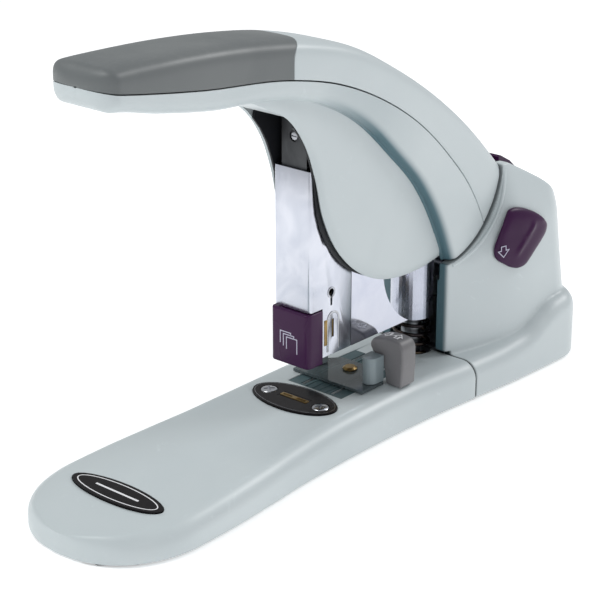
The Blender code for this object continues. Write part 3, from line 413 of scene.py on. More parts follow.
def mouldedSkinGroup():
    # texture of an injection-moulded face: fine spark grain, slow flow clouds, a few rubbed patches
    tree, given, out = newGroup("mouldedSkin", [("Grain", 2600.0), ("Clouds", 18.0), ("Rub", 90.0)],
                                ["Height", "Cloud", "Rubbed"])
    where = tree.nodes.new("ShaderNodeTexCoord").outputs["Object"]
    fine = noiseNode(tree, where, given.outputs["Grain"], 2.0, 0.6)
    cloud = noiseNode(tree, where, given.outputs["Clouds"], 3.0, 0.5, 0.4)
    rub = rampNode(tree, noiseNode(tree, where, given.outputs["Rub"], 8.0, 0.7, 1.5), 0.60, 0.78)
    tree.links.new(fine, out.inputs["Height"])
    tree.links.new(cloud, out.inputs["Cloud"])
    tree.links.new(rub, out.inputs["Rubbed"])
    return tree


def drawnLinesGroup():
    # fine lines left along one direction by rolling and polishing
    tree, given, out = newGroup("drawnLines", [("Across", 1400.0), ("Along", 25.0), ("Upright", 0.0)],
                                ["Height", "Streak", "Haze"])
    where = tree.nodes.new("ShaderNodeTexCoord").outputs["Object"]
    parts = tree.nodes.new("ShaderNodeSeparateXYZ")
    tree.links.new(where, parts.inputs[0])
    flat = mathNode(tree, "SUBTRACT", 1.0, given.outputs["Upright"])
    run = times(tree, given.outputs["Along"], given.outputs["Upright"])
    side = times(tree, given.outputs["Across"], flat)
    upScale = plus(tree, run, side)
    stretch = tree.nodes.new("ShaderNodeCombineXYZ")
    tree.links.new(times(tree, parts.outputs["X"], given.outputs["Across"]), stretch.inputs["X"])
    runY = times(tree, given.outputs["Along"], flat)
    acrossY = times(tree, given.outputs["Across"], given.outputs["Upright"])
    tree.links.new(times(tree, parts.outputs["Y"], plus(tree, runY, acrossY)),
                   stretch.inputs["Y"])
    tree.links.new(times(tree, parts.outputs["Z"], upScale), stretch.inputs["Z"])
    lines = noiseNode(tree, stretch.outputs[0], 1.0, 4.0, 0.6)
    haze = noiseNode(tree, where, 45.0, 4.0, 0.55, 0.8)
    tree.links.new(lines, out.inputs["Height"])
    tree.links.new(rampNode(tree, lines, 0.35, 0.7), out.inputs["Streak"])
    tree.links.new(haze, out.inputs["Haze"])
    return tree


def settledDustGroup():
    # a thin film that lies only on faces turned upwards
    tree, given, out = newGroup("settledDust", [("Amount", 0.2), ("Size", 400.0)], ["Mask"])
    where = tree.nodes.new("ShaderNodeTexCoord").outputs["Object"]
    parts = tree.nodes.new("ShaderNodeSeparateXYZ")
    tree.links.new(tree.nodes.new("ShaderNodeNewGeometry").outputs["Normal"], parts.inputs[0])
    up = rampNode(tree, parts.outputs["Z"], 0.35, 0.98)
    specks = rampNode(tree, noiseNode(tree, where, given.outputs["Size"], 5.0, 0.75), 0.48, 0.70)
    film = times(tree, times(tree, up, specks), given.outputs["Amount"])
    tree.links.new(film, out.inputs["Mask"])
    return tree


mouldedSkin = mouldedSkinGroup()
drawnLines = drawnLinesGroup()
settledDust = settledDustGroup()


def groupNode(tree, group, **values):
    node = tree.nodes.new("ShaderNodeGroup")
    node.node_tree = group
    for label, value in values.items():
        node.inputs[label].default_value = value
    return node


def mixColour(tree, factor, first, second):
    node = tree.nodes.new("ShaderNodeMix")
    node.data_type = "RGBA"
    tree.links.new(factor, node.inputs["Factor"])
    for socket, value in ((node.inputs[6], first), (node.inputs[7], second)):
        if isinstance(value, tuple):
            socket.default_value = (*value, 1.0)
        else:
            tree.links.new(value, socket)
    return node.outputs[2]


def startMaterial(name):
    mat = bpy.data.materials.new(name)
    mat.use_nodes = True
    return mat, mat.node_tree, mat.node_tree.nodes["Principled BSDF"]


def bumpInto(tree, shader, height, distance, strength):
    bump = tree.nodes.new("ShaderNodeBump")
    bump.inputs["Distance"].default_value = distance
    bump.inputs["Strength"].default_value = strength
    tree.links.new(height, bump.inputs["Height"])
    tree.links.new(bump.outputs["Normal"], shader.inputs["Normal"])


def plasticFinish(name, colour, shade, rough, grain=2600.0, clouds=18.0, depth=0.00003, strength=0.35, dust=0.15,
                  rubbed=None, gloss=0.5, paintedShadeAndJoints=None):
    mat, tree, shader = startMaterial(name)
    skin = groupNode(tree, mouldedSkin, Grain=grain, Clouds=clouds, Rub=95.0)
    film = groupNode(tree, settledDust, Amount=dust, Size=420.0)
    tone = mixColour(tree, rampNode(tree, skin.outputs["Cloud"], 0.3, 0.7), colour, shade)
    rubAmount = times(tree, skin.outputs["Rubbed"], 0.5)
    tone = mixColour(tree, rubAmount, tone, rubbed or tuple(min(1.0, 1.18 * c + 0.004) for c in colour))
    tone = mixColour(tree, film.outputs["Mask"], tone, (0.62, 0.62, 0.60))
    for layer, tint in (paintedShadeAndJoints or {}).items():  # painted shade under the handle's arch and on the pedestal's front strip (the shade layer), and dark joint lines (the gap layer)
        mask = tree.nodes.new("ShaderNodeAttribute")
        mask.attribute_name = layer
        tone = mixColour(tree, mask.outputs["Fac"], tone, tint)
    tree.links.new(tone, shader.inputs["Base Color"])
    polish = rampNode(tree, skin.outputs["Cloud"], 0.25, 0.75, rough - 0.05, rough + 0.05)
    polish = plus(tree, polish, times(tree, skin.outputs["Rubbed"], -0.06))
    polish = plus(tree, polish, times(tree, film.outputs["Mask"], 0.25))
    tree.links.new(polish, shader.inputs["Roughness"])
    shader.inputs["Specular IOR Level"].default_value = gloss
    bumpInto(tree, shader, skin.outputs["Height"], depth, strength)
    return mat


def metalFinish(name, colour, shade, rough, upright=0.0, across=1400.0, along=25.0, spread=0.06):
    mat, tree, shader = startMaterial(name)
    lines = groupNode(tree, drawnLines, Across=across, Along=along, Upright=upright)
    film = groupNode(tree, settledDust, Amount=0.10, Size=500.0)
    tone = mixColour(tree, rampNode(tree, lines.outputs["Haze"], 0.3, 0.7), colour, shade)
    tone = mixColour(tree, film.outputs["Mask"], tone, (0.45, 0.45, 0.44))
    tree.links.new(tone, shader.inputs["Base Color"])
    gloss = rampNode(tree, lines.outputs["Haze"], 0.3, 0.7, rough, rough + spread)
    gloss = plus(tree, gloss, times(tree, lines.outputs["Streak"], 0.5 * spread))
    tree.links.new(gloss, shader.inputs["Roughness"])
    shader.inputs["Metallic"].default_value = 1.0
    bumpInto(tree, shader, lines.outputs["Height"], 0.000012, 0.25)
    return mat


# the dark teal 'shade' tint is painted shade; the near-black 'gap' tint draws the dark joint lines
palePlastic = plasticFinish("palePlastic", (0.560, 0.612, 0.626), (0.536, 0.590, 0.606), 0.36, dust=0.05,
                            paintedShadeAndJoints={"shade": (0.075, 0.150, 0.180), "gap": (0.012, 0.020, 0.024)})
softGrip = plasticFinish("softGrip", (0.150, 0.162, 0.164), (0.130, 0.142, 0.145), 0.44, grain=1500.0,
                         clouds=26.0, depth=0.00006, strength=0.4, dust=0.04)
purplePlastic = plasticFinish("purplePlastic", (0.042, 0.0075, 0.048), (0.034, 0.006, 0.040), 0.30, grain=1800.0,
                              depth=0.00002, strength=0.3, dust=0.01, rubbed=(0.060, 0.018, 0.068), gloss=0.22)
knobPlastic = plasticFinish("knobPlastic", (0.185, 0.180, 0.188), (0.150, 0.147, 0.152), 0.40, grain=2000.0,
                            dust=0.03, rubbed=(0.30, 0.295, 0.30))
stopPlastic = plasticFinish("stopPlastic", (0.25, 0.30, 0.32), (0.21, 0.26, 0.28), 0.34, dust=0.05)
# the track floor and its ribs are pale plastic; this dark teal is painted shade beneath the head
trackPaintedShade = plasticFinish("trackPaintedShade", (0.085, 0.135, 0.148), (0.060, 0.105, 0.118), 0.45, dust=0.04,
                             gloss=0.3)
darkInside = plasticFinish("darkInside", (0.014, 0.015, 0.018), (0.010, 0.011, 0.014), 0.50, dust=0.02,
                           gloss=0.3)
glossBlack = plasticFinish("glossBlack", (0.008, 0.006, 0.007), (0.005, 0.004, 0.005), 0.22, grain=900.0,
                           dust=0.01, depth=0.00001, gloss=0.12)
matRubber = plasticFinish("matRubber", (0.022, 0.022, 0.022), (0.016, 0.016, 0.016), 0.80, grain=900.0,
                          depth=0.0001, strength=0.8, dust=0.05)
paleInk = plasticFinish("paleInk", (0.52, 0.50, 0.62), (0.46, 0.45, 0.56), 0.45, dust=0.0)
whiteInk = plasticFinish("whiteInk", (0.85, 0.85, 0.86), (0.80, 0.80, 0.82), 0.45, dust=0.0)
brightSteel = metalFinish("brightSteel", (0.67, 0.685, 0.75), (0.55, 0.575, 0.65), 0.19, upright=1.0)
plateSteel = metalFinish("plateSteel", (0.60, 0.615, 0.69), (0.52, 0.54, 0.63), 0.080, upright=0.0)
plainSteel = metalFinish("plainSteel", (0.48, 0.49, 0.52), (0.40, 0.41, 0.44), 0.30)
turnedSteel = metalFinish("turnedSteel", (0.56, 0.57, 0.60), (0.44, 0.45, 0.48), 0.20)
blackSteel = metalFinish("blackSteel", (0.085, 0.088, 0.092), (0.060, 0.062, 0.066), 0.38, spread=0.12)
springSteel = metalFinish("springSteel", (0.16, 0.115, 0.075), (0.030, 0.026, 0.028), 0.20, across=300.0,
                          along=80.0)
cupChrome = metalFinish("cupChrome", (0.50, 0.52, 0.60), (0.42, 0.45, 0.53), 0.24, upright=1.0, along=10.0)
brassFinish = metalFinish("brassFinish", (0.40, 0.28, 0.12), (0.27, 0.18, 0.07), 0.28, spread=0.10)


def smokyFinish():
    mat, tree, shader = startMaterial("smokyGuide")
    skin = groupNode(tree, mouldedSkin, Grain=900.0, Clouds=40.0, Rub=120.0)
    clear, cloudy = (0.17, 0.215, 0.23), (0.13, 0.17, 0.185)
    tone = mixColour(tree, rampNode(tree, skin.outputs["Cloud"], 0.3, 0.7), clear, cloudy)
    tree.links.new(tone, shader.inputs["Base Color"])
    tree.links.new(rampNode(tree, skin.outputs["Rubbed"], 0.0, 1.0, 0.10, 0.22), shader.inputs["Roughness"])
    shader.inputs["Transmission Weight"].default_value = 0.55
    shader.inputs["IOR"].default_value = 1.49
    bumpInto(tree, shader, skin.outputs["Height"], 0.00001, 0.2)
    return mat


smokyGuide = smokyFinish()
print("finishes ready")


# ---- handle ----
handle = {
    "pivot": (0.0860, 0.1140), "endRadius": 0.0460, "halfWidth": 0.0200, "seamGap": 0.00032,
    "noseRound": 0.0080, "noseDrop": 0.0060, "wall": 0.0021, "padWall": 0.0028,
    "joint": 0.15,  # of the grip and the cover behind it, in rows of the grid
    "padSideEnd": -0.0235, "padTopEnd": -0.0110, "lowRadius": 0.0058, "archRadius": 0.0048,
    "archStart": -0.0198, "archInner": 0.0141, "archRecess": 0.0012,
    "stations": [
        (-0.1285, 0.2048, -0.1285, 0.1876, 0.92), (-0.1215, 0.2052, -0.1215, 0.1870, 0.92),
        (-0.0980, 0.2050, -0.0980, 0.1818, 0.93), (-0.0690, 0.2037, -0.0670, 0.1765, 0.94),
        (-0.0390, 0.2010, -0.0390, 0.1745, 0.95), (-0.0090, 0.1965, -0.0130, 0.1703, 0.96),
        (0.0240, 0.1873, 0.0095, 0.1622, 0.97), (0.0540, 0.1720, 0.0290, 0.1505, 0.98),
        (0.0840, 0.1530, 0.0500, 0.1320, 0.99), (0.1080, 0.1343, 0.0690, 0.1130, 1.00),
        (0.1270, 0.1165, 0.0825, 0.0925, 1.00), (0.1440, 0.0985, 0.0925, 0.0700, 1.00),
        (0.1560, 0.0840, 0.0990, 0.0500, 1.00)],
    "seam": [
        (-0.1420, 0.1990), (-0.1160, 0.1940), (-0.0780, 0.1880), (-0.0230, 0.1815), (0.0075, 0.1740),
        (0.0380, 0.1610), (0.0660, 0.1435), (0.0890, 0.1230), (0.1060, 0.1040), (0.1160, 0.0880),
        (0.1225, 0.0730), (0.1330, 0.0450)],
    "lipEnd": (-0.0200, 0.1630),
    "teardrop": [
        (-0.0455, 0.1760), (-0.0330, 0.1701), (-0.0200, 0.1630), (-0.0078, 0.1480), (-0.0012, 0.1320),
        (0.0042, 0.1120), (0.0132, 0.0950),
        (0.0280, 0.0800), (0.0450, 0.0712), (0.0620, 0.0680), (0.0770, 0.0680), (0.0925, 0.0705)],
    "coverInner": 0.01255, "coverOuter": 0.0141, "bulge": 0.0011, "coverRoll": 0.0060, "coverSheet": 0.00125,
    "coverStart": -0.0455, "coverEnd": 0.0905, "coverOverlap": 0.06,
}


def handleRowPlaces():
    nose = handle["noseRound"] * (1 - np.cos(np.linspace(0.02, math.pi / 2, 16)))
    length = float(np.sum(np.linalg.norm(np.diff(np.array(handle["stations"])[:, :2], axis=0), axis=1)))
    rest = np.arange(nose[-1] + 0.0009, length, 0.0009)
    return np.concatenate([nose, rest])


rowPlaces = handleRowPlaces()
handleRows = curveAt(handle["stations"], places=rowPlaces)
seamLine = curveAt(handle["seam"], 300)


def squareRound(distance, reach, power):
    left = 1.0 - min(distance / reach, 1.0)
    return max(1.0 - left**power, 0.0) ** (1.0 / power)


def seamHeight(row):
    # height above the lower edge at which this cross-section meets the joint of the covers
    shares = np.linspace(-0.4, 1.6, 160)
    ys = row[2] + shares * (row[0] - row[2])
    zs = row[3] + shares * (row[1] - row[3])
    rise = zs - np.interp(ys, seamLine[:, 0], seamLine[:, 1])
    share = float(np.interp(0.0, rise, shares))
    return min(max(share, 0.18), 0.9) * math.hypot(row[0] - row[2], row[1] - row[3])


def upperSection(half, height, seam):
    start = seam + handle["seamGap"]
    shoulder = max(start + 0.0012, height - 0.0105)
    points = [(half, h) for h in np.linspace(start, shoulder, 6)[:-1]]
    for turn in np.linspace(0.0, math.pi / 2, 22):
        points.append((half * max(math.cos(turn), 0.0) ** 0.42,
                       shoulder + (height - shoulder) * math.sin(turn) ** 0.58))
    return points


def lowerSection(half, seam, y):
    inArch = min(max((y - handle["archStart"]) / 0.010, 0.0), 1.0)
    radius = handle["lowRadius"] + inArch * (handle["archRadius"] - handle["lowRadius"])
    radius = min(radius, 0.7 * seam)
    points = [(half, h) for h in np.linspace(seam - handle["seamGap"], radius, 9)[:-1]]
    points += [(half - radius + radius * math.cos(a), radius - radius * math.sin(a))
               for a in np.linspace(0.0, math.pi / 2, 11)]
    if y < handle["archStart"]:
        points += [(x, 0.0) for x in np.linspace(half - radius, 0.00003, 9)[1:]]
    else:
        edge = half - radius - 0.0004
        depth = handle["archRecess"] * inArch
        points += [(edge - step, share * depth + rise) for step, share, rise in (
            (0.0, 0.0, 0.0001), (0.0004, 0.4, 0.0), (0.0006, 0.8, 0.0), (0.001, 1.0, 0.0))]
        points += [(x, depth) for x in np.linspace(edge - 0.001, handle["archInner"], 5)[1:]]
    return points


def handleGrid(section):
    grid = []
    for along, row in zip(rowPlaces, handleRows):
        height = math.hypot(row[0] - row[2], row[1] - row[3])
        up = ((row[0] - row[2]) / height, (row[1] - row[3]) / height)
        seam = seamHeight(row)
        half = handle["halfWidth"] * row[4]
        narrow = squareRound(along, handle["noseRound"], 2.5)
        flat = squareRound(along, handle["noseDrop"], 2.3)
        line = []
        for x, h in section(half, height, seam, row[2]):
            h = seam + (h - seam) * flat
            line.append((x * narrow, row[2] + up[0] * h, row[3] + up[1] * h))
        grid.append(line)
    return np.array(grid)


def rearCrossing(column):
    away = np.hypot(column[:, 1] - handle["pivot"][0], column[:, 2] - handle["pivot"][1]) - handle["endRadius"]
    i = [k for k in range(len(away) - 1) if away[k] < 0 <= away[k + 1]][-1]
    return i + away[i] / (away[i] - away[i + 1])


def padCrossing(column):
    reach = 0.97 * handle["halfWidth"]
    tongue = np.sqrt(np.clip(1 - (column[:, 0] / reach) ** 2, 0, 1))
    past = column[:, 1] - handle["padSideEnd"] - (handle["padTopEnd"] - handle["padSideEnd"]) * tongue
    i = [k for k in range(len(past) - 1) if past[k] < 0 <= past[k + 1]][0]
    return i + past[i] / (past[i] - past[i + 1])


def resampled(grid, starts, ends, count):
    at = np.arange(len(grid))
    out = np.empty((count, grid.shape[1], 3))
    for j in range(grid.shape[1]):
        places = np.linspace(starts[j], ends[j], count)
        for axis in range(3):
            out[:, j, axis] = np.interp(places, at, grid[:, j, axis])
    return out


def makeHandle():
    right = handleGrid(lambda half, height, seam, y: upperSection(half, height, seam))
    left = right[:, :-1][:, ::-1] * np.array([-1, 1, 1])
    whole = np.concatenate([right, left], axis=1)
    columns = [whole[:, j] for j in range(whole.shape[1])]
    rear = np.array([rearCrossing(c) for c in columns])
    pad = np.array([padCrossing(c) for c in columns])
    zero = np.zeros(len(columns))
    grip = gridShape("grip", resampled(whole, zero, pad - handle["joint"], 170), np.array([0, 0, 1.0]))
    thicken(grip, handle["padWall"])
    softEdges(grip, 0.00045, 3, 60.0)
    place(grip, "gripPad", "handle", "soft_grip", softGrip, "grip_pad", angle=50.0)
    top = gridShape("top", resampled(whole, pad + handle["joint"], rear, 240), np.array([0, 0.5, 1.0]))
    thicken(top, handle["wall"])
    softEdges(top, 0.0003, 2, 60.0)
    place(top, "handleTopCover", "handle", "pale_plastic", palePlastic, "handle_top_cover", angle=50.0)

    low = handleGrid(lambda half, height, seam, y: lowerSection(half, seam, y))
    ends = np.array([rearCrossing(low[:, j]) for j in range(low.shape[1])])
    sheet = gridShape("side", resampled(low, np.zeros(low.shape[1]), ends, 380), np.array([1.0, 0, -0.2]))
    # painted shade on the underside of the arch, growing from the front towards the rear
    paint(sheet, "shade", lambda x, y, z:
          np.clip((0.0199 - x) / 0.0016, 0, 1) * np.clip((y + 0.006) / 0.045, 0, 1))
    thicken(sheet, handle["wall"])
    side = joined("side", sheet, teardropCover())
    other = mirroredCopy(side, "sideLeft")
    place(side, "handleSideRight", "handle", "pale_plastic", palePlastic, "handle_side_right", angle=42.0)
    place(other, "handleSideLeft", "handle", "pale_plastic", palePlastic, "handle_side_left", angle=42.0)


def teardropCover():
    # hanging cover beside the head: gently domed, with a rolled free edge
    rows = 120
    edge = curveAt(handle["teardrop"], rows)
    over = handle["coverOverlap"]
    beside = handleRows[(handleRows[:, 2] > handle["coverStart"]) & (handleRows[:, 2] < handle["coverEnd"])]
    inner = np.array([(r[2] + over * (r[0] - r[2]), r[3] + over * (r[1] - r[3])) for r in beside])
    inner = curveAt(inner[::6], rows)
    shares = np.concatenate([np.linspace(0, 0.12, 9)[:-1], np.linspace(0.12, 1.0, 20)])
    grid = np.empty((rows, len(shares), 3))
    for i in range(rows):
        gap = inner[i] - edge[i]
        width = max(float(np.linalg.norm(gap)), 1e-5)
        for j, share in enumerate(shares):
            inside = min(share * width / handle["coverRoll"], 1.0)
            crown = handle["bulge"] * (1 - (1 - inside) ** 2) * (1 - 0.6 * share)
            y, z = edge[i] + share * gap
            grid[i, j] = (handle["coverOuter"] - 0.0006 + crown, y, z)
    plate = gridShape("teardrop", grid, np.array([1.0, 0, 0]))
    thicken(plate, handle["coverSheet"])
    return softEdges(plate, 0.00035, 3, 60.0)


makeHandle()


def makeHandleLip():
    # cross piece that closes the arch in front of the head
    start = handle["lipEnd"]
    outline = [(start[0] - 0.0255, start[1] + 0.0135), (start[0] + 0.0002, start[1] + 0.0006),
               (start[0] + 0.0012, start[1] + 0.0026), (start[0] + 0.0012, start[1] + 0.0100),
               (start[0] - 0.0230, start[1] + 0.0150)]
    lip = prismShape("lip", "X", outline, -handle["coverInner"], handle["coverInner"])
    softEdges(lip, 0.0004, 2)
    place(lip, "handleArchLip", "handle", "pale_plastic", palePlastic)


makeHandleLip()
print("handle built")


# ---- base ----
base = {
    "noseReach": 0.150, "tailReach": 0.188, "halfWidth": 0.0420, "height": 0.0210, "lift": 0.0010,
    "shoulder": 0.0085, "wall": 0.0024, "seamY": 0.0917, "noseRound": 0.046, "tailRound": 0.024, "power": 2.3,
    "widths": [(-0.110, 1.000), (-0.090, 0.986), (-0.060, 0.935), (-0.030, 0.870), (0.000, 0.840),
               (0.030, 0.835), (0.060, 0.855), (0.090, 0.905), (0.130, 0.980), (0.158, 1.000)],
    "heights": [(-0.150, 0.52), (-0.143, 0.62), (-0.130, 0.68), (-0.115, 0.725), (-0.060, 0.85),
                (0.000, 0.98), (0.040, 1.00), (0.122, 1.00), (0.132, 1.07), (0.146, 1.36), (0.160, 1.62),
                (0.170, 1.68), (0.180, 1.62), (0.188, 1.40)],
    "anvil": (0.0240, 0.0125), "badge": (-0.1146, 0.0270, 0.0080), "track": (0.0168, 0.0140, 0.0770),
    "play": 0.0003, "slotX": 0.0091, "slotHalf": 0.0011, "slotInset": 0.002, "springY": 0.0880,
    "springHole": 0.0114, "anvilScrewX": 0.0160, "dip": 0.0004,  # the anvil lies this much below the top
}
smoothWidths = curveAt(base["widths"], 300)
smoothHeights = curveAt([(y, 0.1 * s) for y, s in base["heights"]], 300)


def baseHalf(y):
    width = base["halfWidth"] * float(np.interp(y, smoothWidths[:, 0], smoothWidths[:, 1]))
    ends = ((-base["noseReach"], -base["noseReach"] + base["noseRound"]),
            (base["tailReach"], base["tailReach"] - base["tailRound"]))
    for end, start in ends:
        along = (y - start) / (end - start)
        if along > 0.0:
            width *= max(1.0 - min(along, 1.0) ** base["power"], 0.0) ** (1.0 / base["power"])
    return width


def baseTop(y):
    return base["height"] * 10.0 * float(np.interp(y, smoothHeights[:, 0], smoothHeights[:, 1]))


def baseLoop(y, inset, bottom):
    half = max(baseHalf(y) - inset, 0.0010)
    top = max(baseTop(y) - inset, bottom + 0.004)
    radius = min(max(base["shoulder"] - inset, 0.002), 0.8 * half, 0.6 * (top - bottom))
    foot = min(0.0012, 0.3 * half)
    right = [(0.55 * half, bottom), (half - foot, bottom), (half - 0.3 * foot, bottom + 0.3 * foot),
             (half, bottom + foot)]
    right += arcPoints((half - radius, top - radius), radius, 0.0, 86.0, 14)
    right += [(s * (half - radius), top - 0.0001 * s) for s in (0.8, 0.5, 0.2)]
    loop = right + [(-x, z) for x, z in reversed(right)]
    return [(x, y, z) for x, z in loop]


def baseSolid(name, inset=0.0, bottom=None, first=None, last=None):
    bottom = base["lift"] if bottom is None else bottom
    nose = -base["noseReach"] + base["noseRound"] * (1 - np.cos(np.linspace(0.035, math.pi / 2, 30)))
    tail = base["tailReach"] - base["tailRound"] * (1 - np.cos(np.linspace(math.pi / 2, 0.05, 20)))
    ys = np.concatenate([nose, np.linspace(nose[-1], tail[0], 90)[1:-1], tail])
    low = -base["noseReach"] + inset + 0.0003 if inset else ys[0]
    high = base["tailReach"] - inset - 0.0003 if inset else ys[-1]
    low = low if first is None else first
    high = high if last is None else last
    inside = [y for y in ys if low + 0.0006 < y < high - 0.0006]
    return loftShape(name, [baseLoop(y, inset, bottom) for y in [low, *inside, high]])


def anvilOutline():
    return ovalPoints((0, 0), base["anvil"][0] + base["play"], base["anvil"][1] + base["play"])


def springOpening():
    return rodShape("springHole", "Z", (0.0, base["springY"]), base["springHole"], 0.010, 0.05)


def makeBaseCover():
    topLevel = base["height"] - base["dip"]
    cover = baseSolid("cover", last=base["seamY"] - 0.0003)
    carve(cover, baseSolid("hollow", base["wall"], -0.002, last=base["seamY"] + 0.01))
    badgeY, badgeLong, badgeDeep = base["badge"]
    half, start, end = base["track"]
    level = baseTop(badgeY) - 0.0011
    carve(cover,
          prismShape("anvil", "Z", anvilOutline(), topLevel - 0.0008, 0.05),
          prismShape("badge", "Z", ovalPoints((0, badgeY), badgeLong + base["play"], badgeDeep + base["play"]),
                     level, 0.05),
          prismShape("track", "Z", rectPoints(-half, half, start, end), base["height"] - 0.0009, 0.05),
          springOpening())
    for side in (-1, 1):
        centre = side * base["slotX"]
        slot = rectPoints(centre - base["slotHalf"], centre + base["slotHalf"], start + base["slotInset"],
                          end - base["slotInset"])
        carve(cover, prismShape("slot", "Z", slot, 0.010, 0.05),
              rodShape("screwHole", "Z", (side * base["anvilScrewX"], 0.0), 0.0022, 0.010, 0.05, 24))
    softEdges(cover, 0.00022, 2, 55.0)
    place(cover, "baseCover", "base", "pale_plastic", palePlastic, "base_cover", angle=30.0)


makeBaseCover()
print("base cover built")


# ---- rear housing ----
pedestal = {
    "front": 0.0895, "frontHalf": 0.0205, "rearHalf": 0.0345, "voxel": 0.00078,
    "release": (0.1460, 0.0800), "seatGap": 0.0008, "mouth": 0.0145, "tuckReach": 0.0090, "tuckHalf": 0.0208,
    "yokeOuter": 0.01535, "seatLine": 0.0010, "seamLine": 0.0011,  # width of the dark joints
}


def wedgeOutline(level, inset):
    lean = (level - 0.036) / 0.060
    rear = base["tailReach"] - 0.0075 - 0.0075 * lean - inset
    dome = min(max(level - 0.078, 0.0) / 0.034, 1.0)
    half = pedestal["rearHalf"] - 0.0030 * lean - 0.0115 * dome**1.5 - inset
    front = pedestal["front"] + inset
    frontHalf = pedestal["frontHalf"] - inset
    corner = min(0.0150, 0.45 * half) - 0.5 * inset
    side = rear - corner - 0.016
    right = [(frontHalf, front)]
    right += [tuple(p) for p in curveAt([(frontHalf + 0.0004, front + 0.001),
                                         (0.62 * frontHalf + 0.38 * half, 0.68 * front + 0.32 * side),
                                         (0.22 * frontHalf + 0.78 * half, 0.30 * front + 0.70 * side),
                                         (half, rear - corner)], 24)]
    right += arcPoints((half - corner, rear - corner), corner, 8.0, 86.0, 14)
    return right + [(-x, y) for x, y in reversed(right)]


def pedestalSolid(name, inset=0.0, bottom=0.010, top=0.115):
    levels = np.concatenate([[bottom], np.linspace(0.040, top, 34)])
    return loftShape(name, [[(x, y, z) for x, y in wedgeOutline(z, inset)] for z in levels])


def pedestalProfile(inset=0.0):
    rear = base["tailReach"] + 0.010
    seat = arcPoints(handle["pivot"], handle["endRadius"] + pedestal["seatGap"] + inset, -84.0, -6.0, 60)
    crest = base["tailReach"] - 0.0225
    topStart = (seat[-1][0] + 0.0045, seat[-1][1] - 0.0003 - inset)
    back = curveAt([topStart, (crest - 0.0145, 0.1010 - inset), (crest - 0.0050, 0.0950 - inset),
                    (crest + 0.0020 - inset, 0.0885 - inset), (crest + 0.0060 - inset, 0.0800 - inset),
                    (rear, 0.0300)], 40)
    return [(0.05, -0.01), (0.05, seat[0][1])] + seat + [tuple(p) for p in back] + [(rear, -0.01)]


def flankLimit(y, z, half):
    # the flanks draw in towards the round seat, level with the sides of the handle
    away = math.hypot(y - handle["pivot"][0], z - handle["pivot"][1]) - handle["endRadius"] - pedestal["seatGap"]
    share = min(max(away / pedestal["tuckReach"], 0.0), 1.0)
    tucked = pedestal["tuckHalf"]
    return tucked + max(half - tucked, 0.0) * math.sqrt(1.0 - (1.0 - share) ** 2)


def tuckSeat(housing):
    for vert in housing.data.vertices:
        x, y, z = vert.co
        if z > base["height"] + 0.004:
            limit = flankLimit(y, z, abs(x))
            if abs(x) > limit:
                vert.co.x = math.copysign(limit, x)


def makeHousing():
    skirt = baseSolid("skirt", first=base["seamY"] + 0.0003)
    body = pedestalSolid("body")
    combine(body, "INTERSECT", prismShape("profile", "X", pedestalProfile(), -0.1, 0.1))
    carve(body, boxShape("underSeam", (-0.1, 0.1), (0.0, base["seamY"] + 0.0006),
                         (-0.1, base["height"] + 0.0003)))
    housing = joined("housing", skirt, body)
    remesh = housing.modifiers.new("skin", "REMESH")
    remesh.mode = "VOXEL"
    remesh.voxel_size = pedestal["voxel"]
    remesh.use_smooth_shade = True
    settle(housing)
    tuckSeat(housing)
    relax = housing.modifiers.new("relax", "SMOOTH")
    relax.factor = 0.5
    relax.iterations = 4
    settle(housing)
    wall = base["wall"]
    cavity = pedestalSolid("cavity", wall, -0.002, 0.120)
    combine(cavity, "INTERSECT", prismShape("innerProfile", "X", pedestalProfile(wall), -0.1, 0.1))
    mouth = pedestal["mouth"]
    tabY = pedestal["release"][0]
    carve(housing, baseSolid("skirtInside", wall, -0.002, first=base["seamY"] - 0.01), cavity,
          boxShape("frontMouth", (-mouth, mouth), (0.05, pedestal["front"] + 0.02), (0.016, 0.2)),
          rodShape("seatMouth", "X", handle["pivot"], handle["endRadius"] + 4 * wall,
                   -pedestal["yokeOuter"] - 0.0003, pedestal["yokeOuter"] + 0.0003, 96),
          springOpening(),
          boxShape("tabHole", (-0.0105, 0.0105), (tabY - 0.0070, tabY + 0.0158), (0.090, 0.2)))
    seatY, seatZ = handle["pivot"]
    paint(housing, "gap", lambda x, y, z: np.maximum(
        np.clip((handle["endRadius"] + pedestal["seatLine"] - np.hypot(y - seatY, z - seatZ)) / 0.0003, 0, 1),
        np.clip((base["seamY"] + pedestal["seamLine"] - y) / 0.0005, 0, 1) * (z < base["height"] + 0.001)))
    # painted shade on the pedestal's front strip beside the handle
    paint(housing, "shade", lambda x, y, z: np.clip((pedestal["front"] + 0.0016 - y) / 0.0010, 0, 1)
          * np.clip((0.0206 - np.abs(x)) / 0.0022, 0, 1) * (z > base["height"] + 0.0006))
    place(housing, "rearHousing", "base", "pale_plastic", palePlastic, "rear_housing", angle=40.0)


def pedestalHalf(y, z):
    outline = wedgeOutline(z, 0.0)
    right = np.array(outline[:len(outline) // 2])
    return float(np.interp(y, right[:, 1], right[:, 0]))


def makeSeatRims():
    # raised bead that frames the round seat on each side
    rim = {"radius": handle["endRadius"] + 0.0020, "bead": 0.0009, "start": -82.0, "end": -9.0}
    loops = []
    for y, z in arcPoints(handle["pivot"], rim["radius"], rim["start"], rim["end"], 60):
        away = np.array((y - handle["pivot"][0], z - handle["pivot"][1])) / rim["radius"]
        x = flankLimit(y, z, pedestalHalf(y, z)) - 0.0004
        loops.append([(x + rim["bead"] * math.cos(a), y + away[0] * rim["bead"] * math.sin(a),
                       z + away[1] * rim["bead"] * math.sin(a)) for a in np.linspace(0, 2 * math.pi, 12, False)])
    right = loftShape("rim", loops)
    left = mirroredCopy(right, "rimLeft")
    place(joined("rims", right, left), "housingRims", "base", "pale_plastic", palePlastic)


makeHousing()
makeSeatRims()
print("rear housing built")


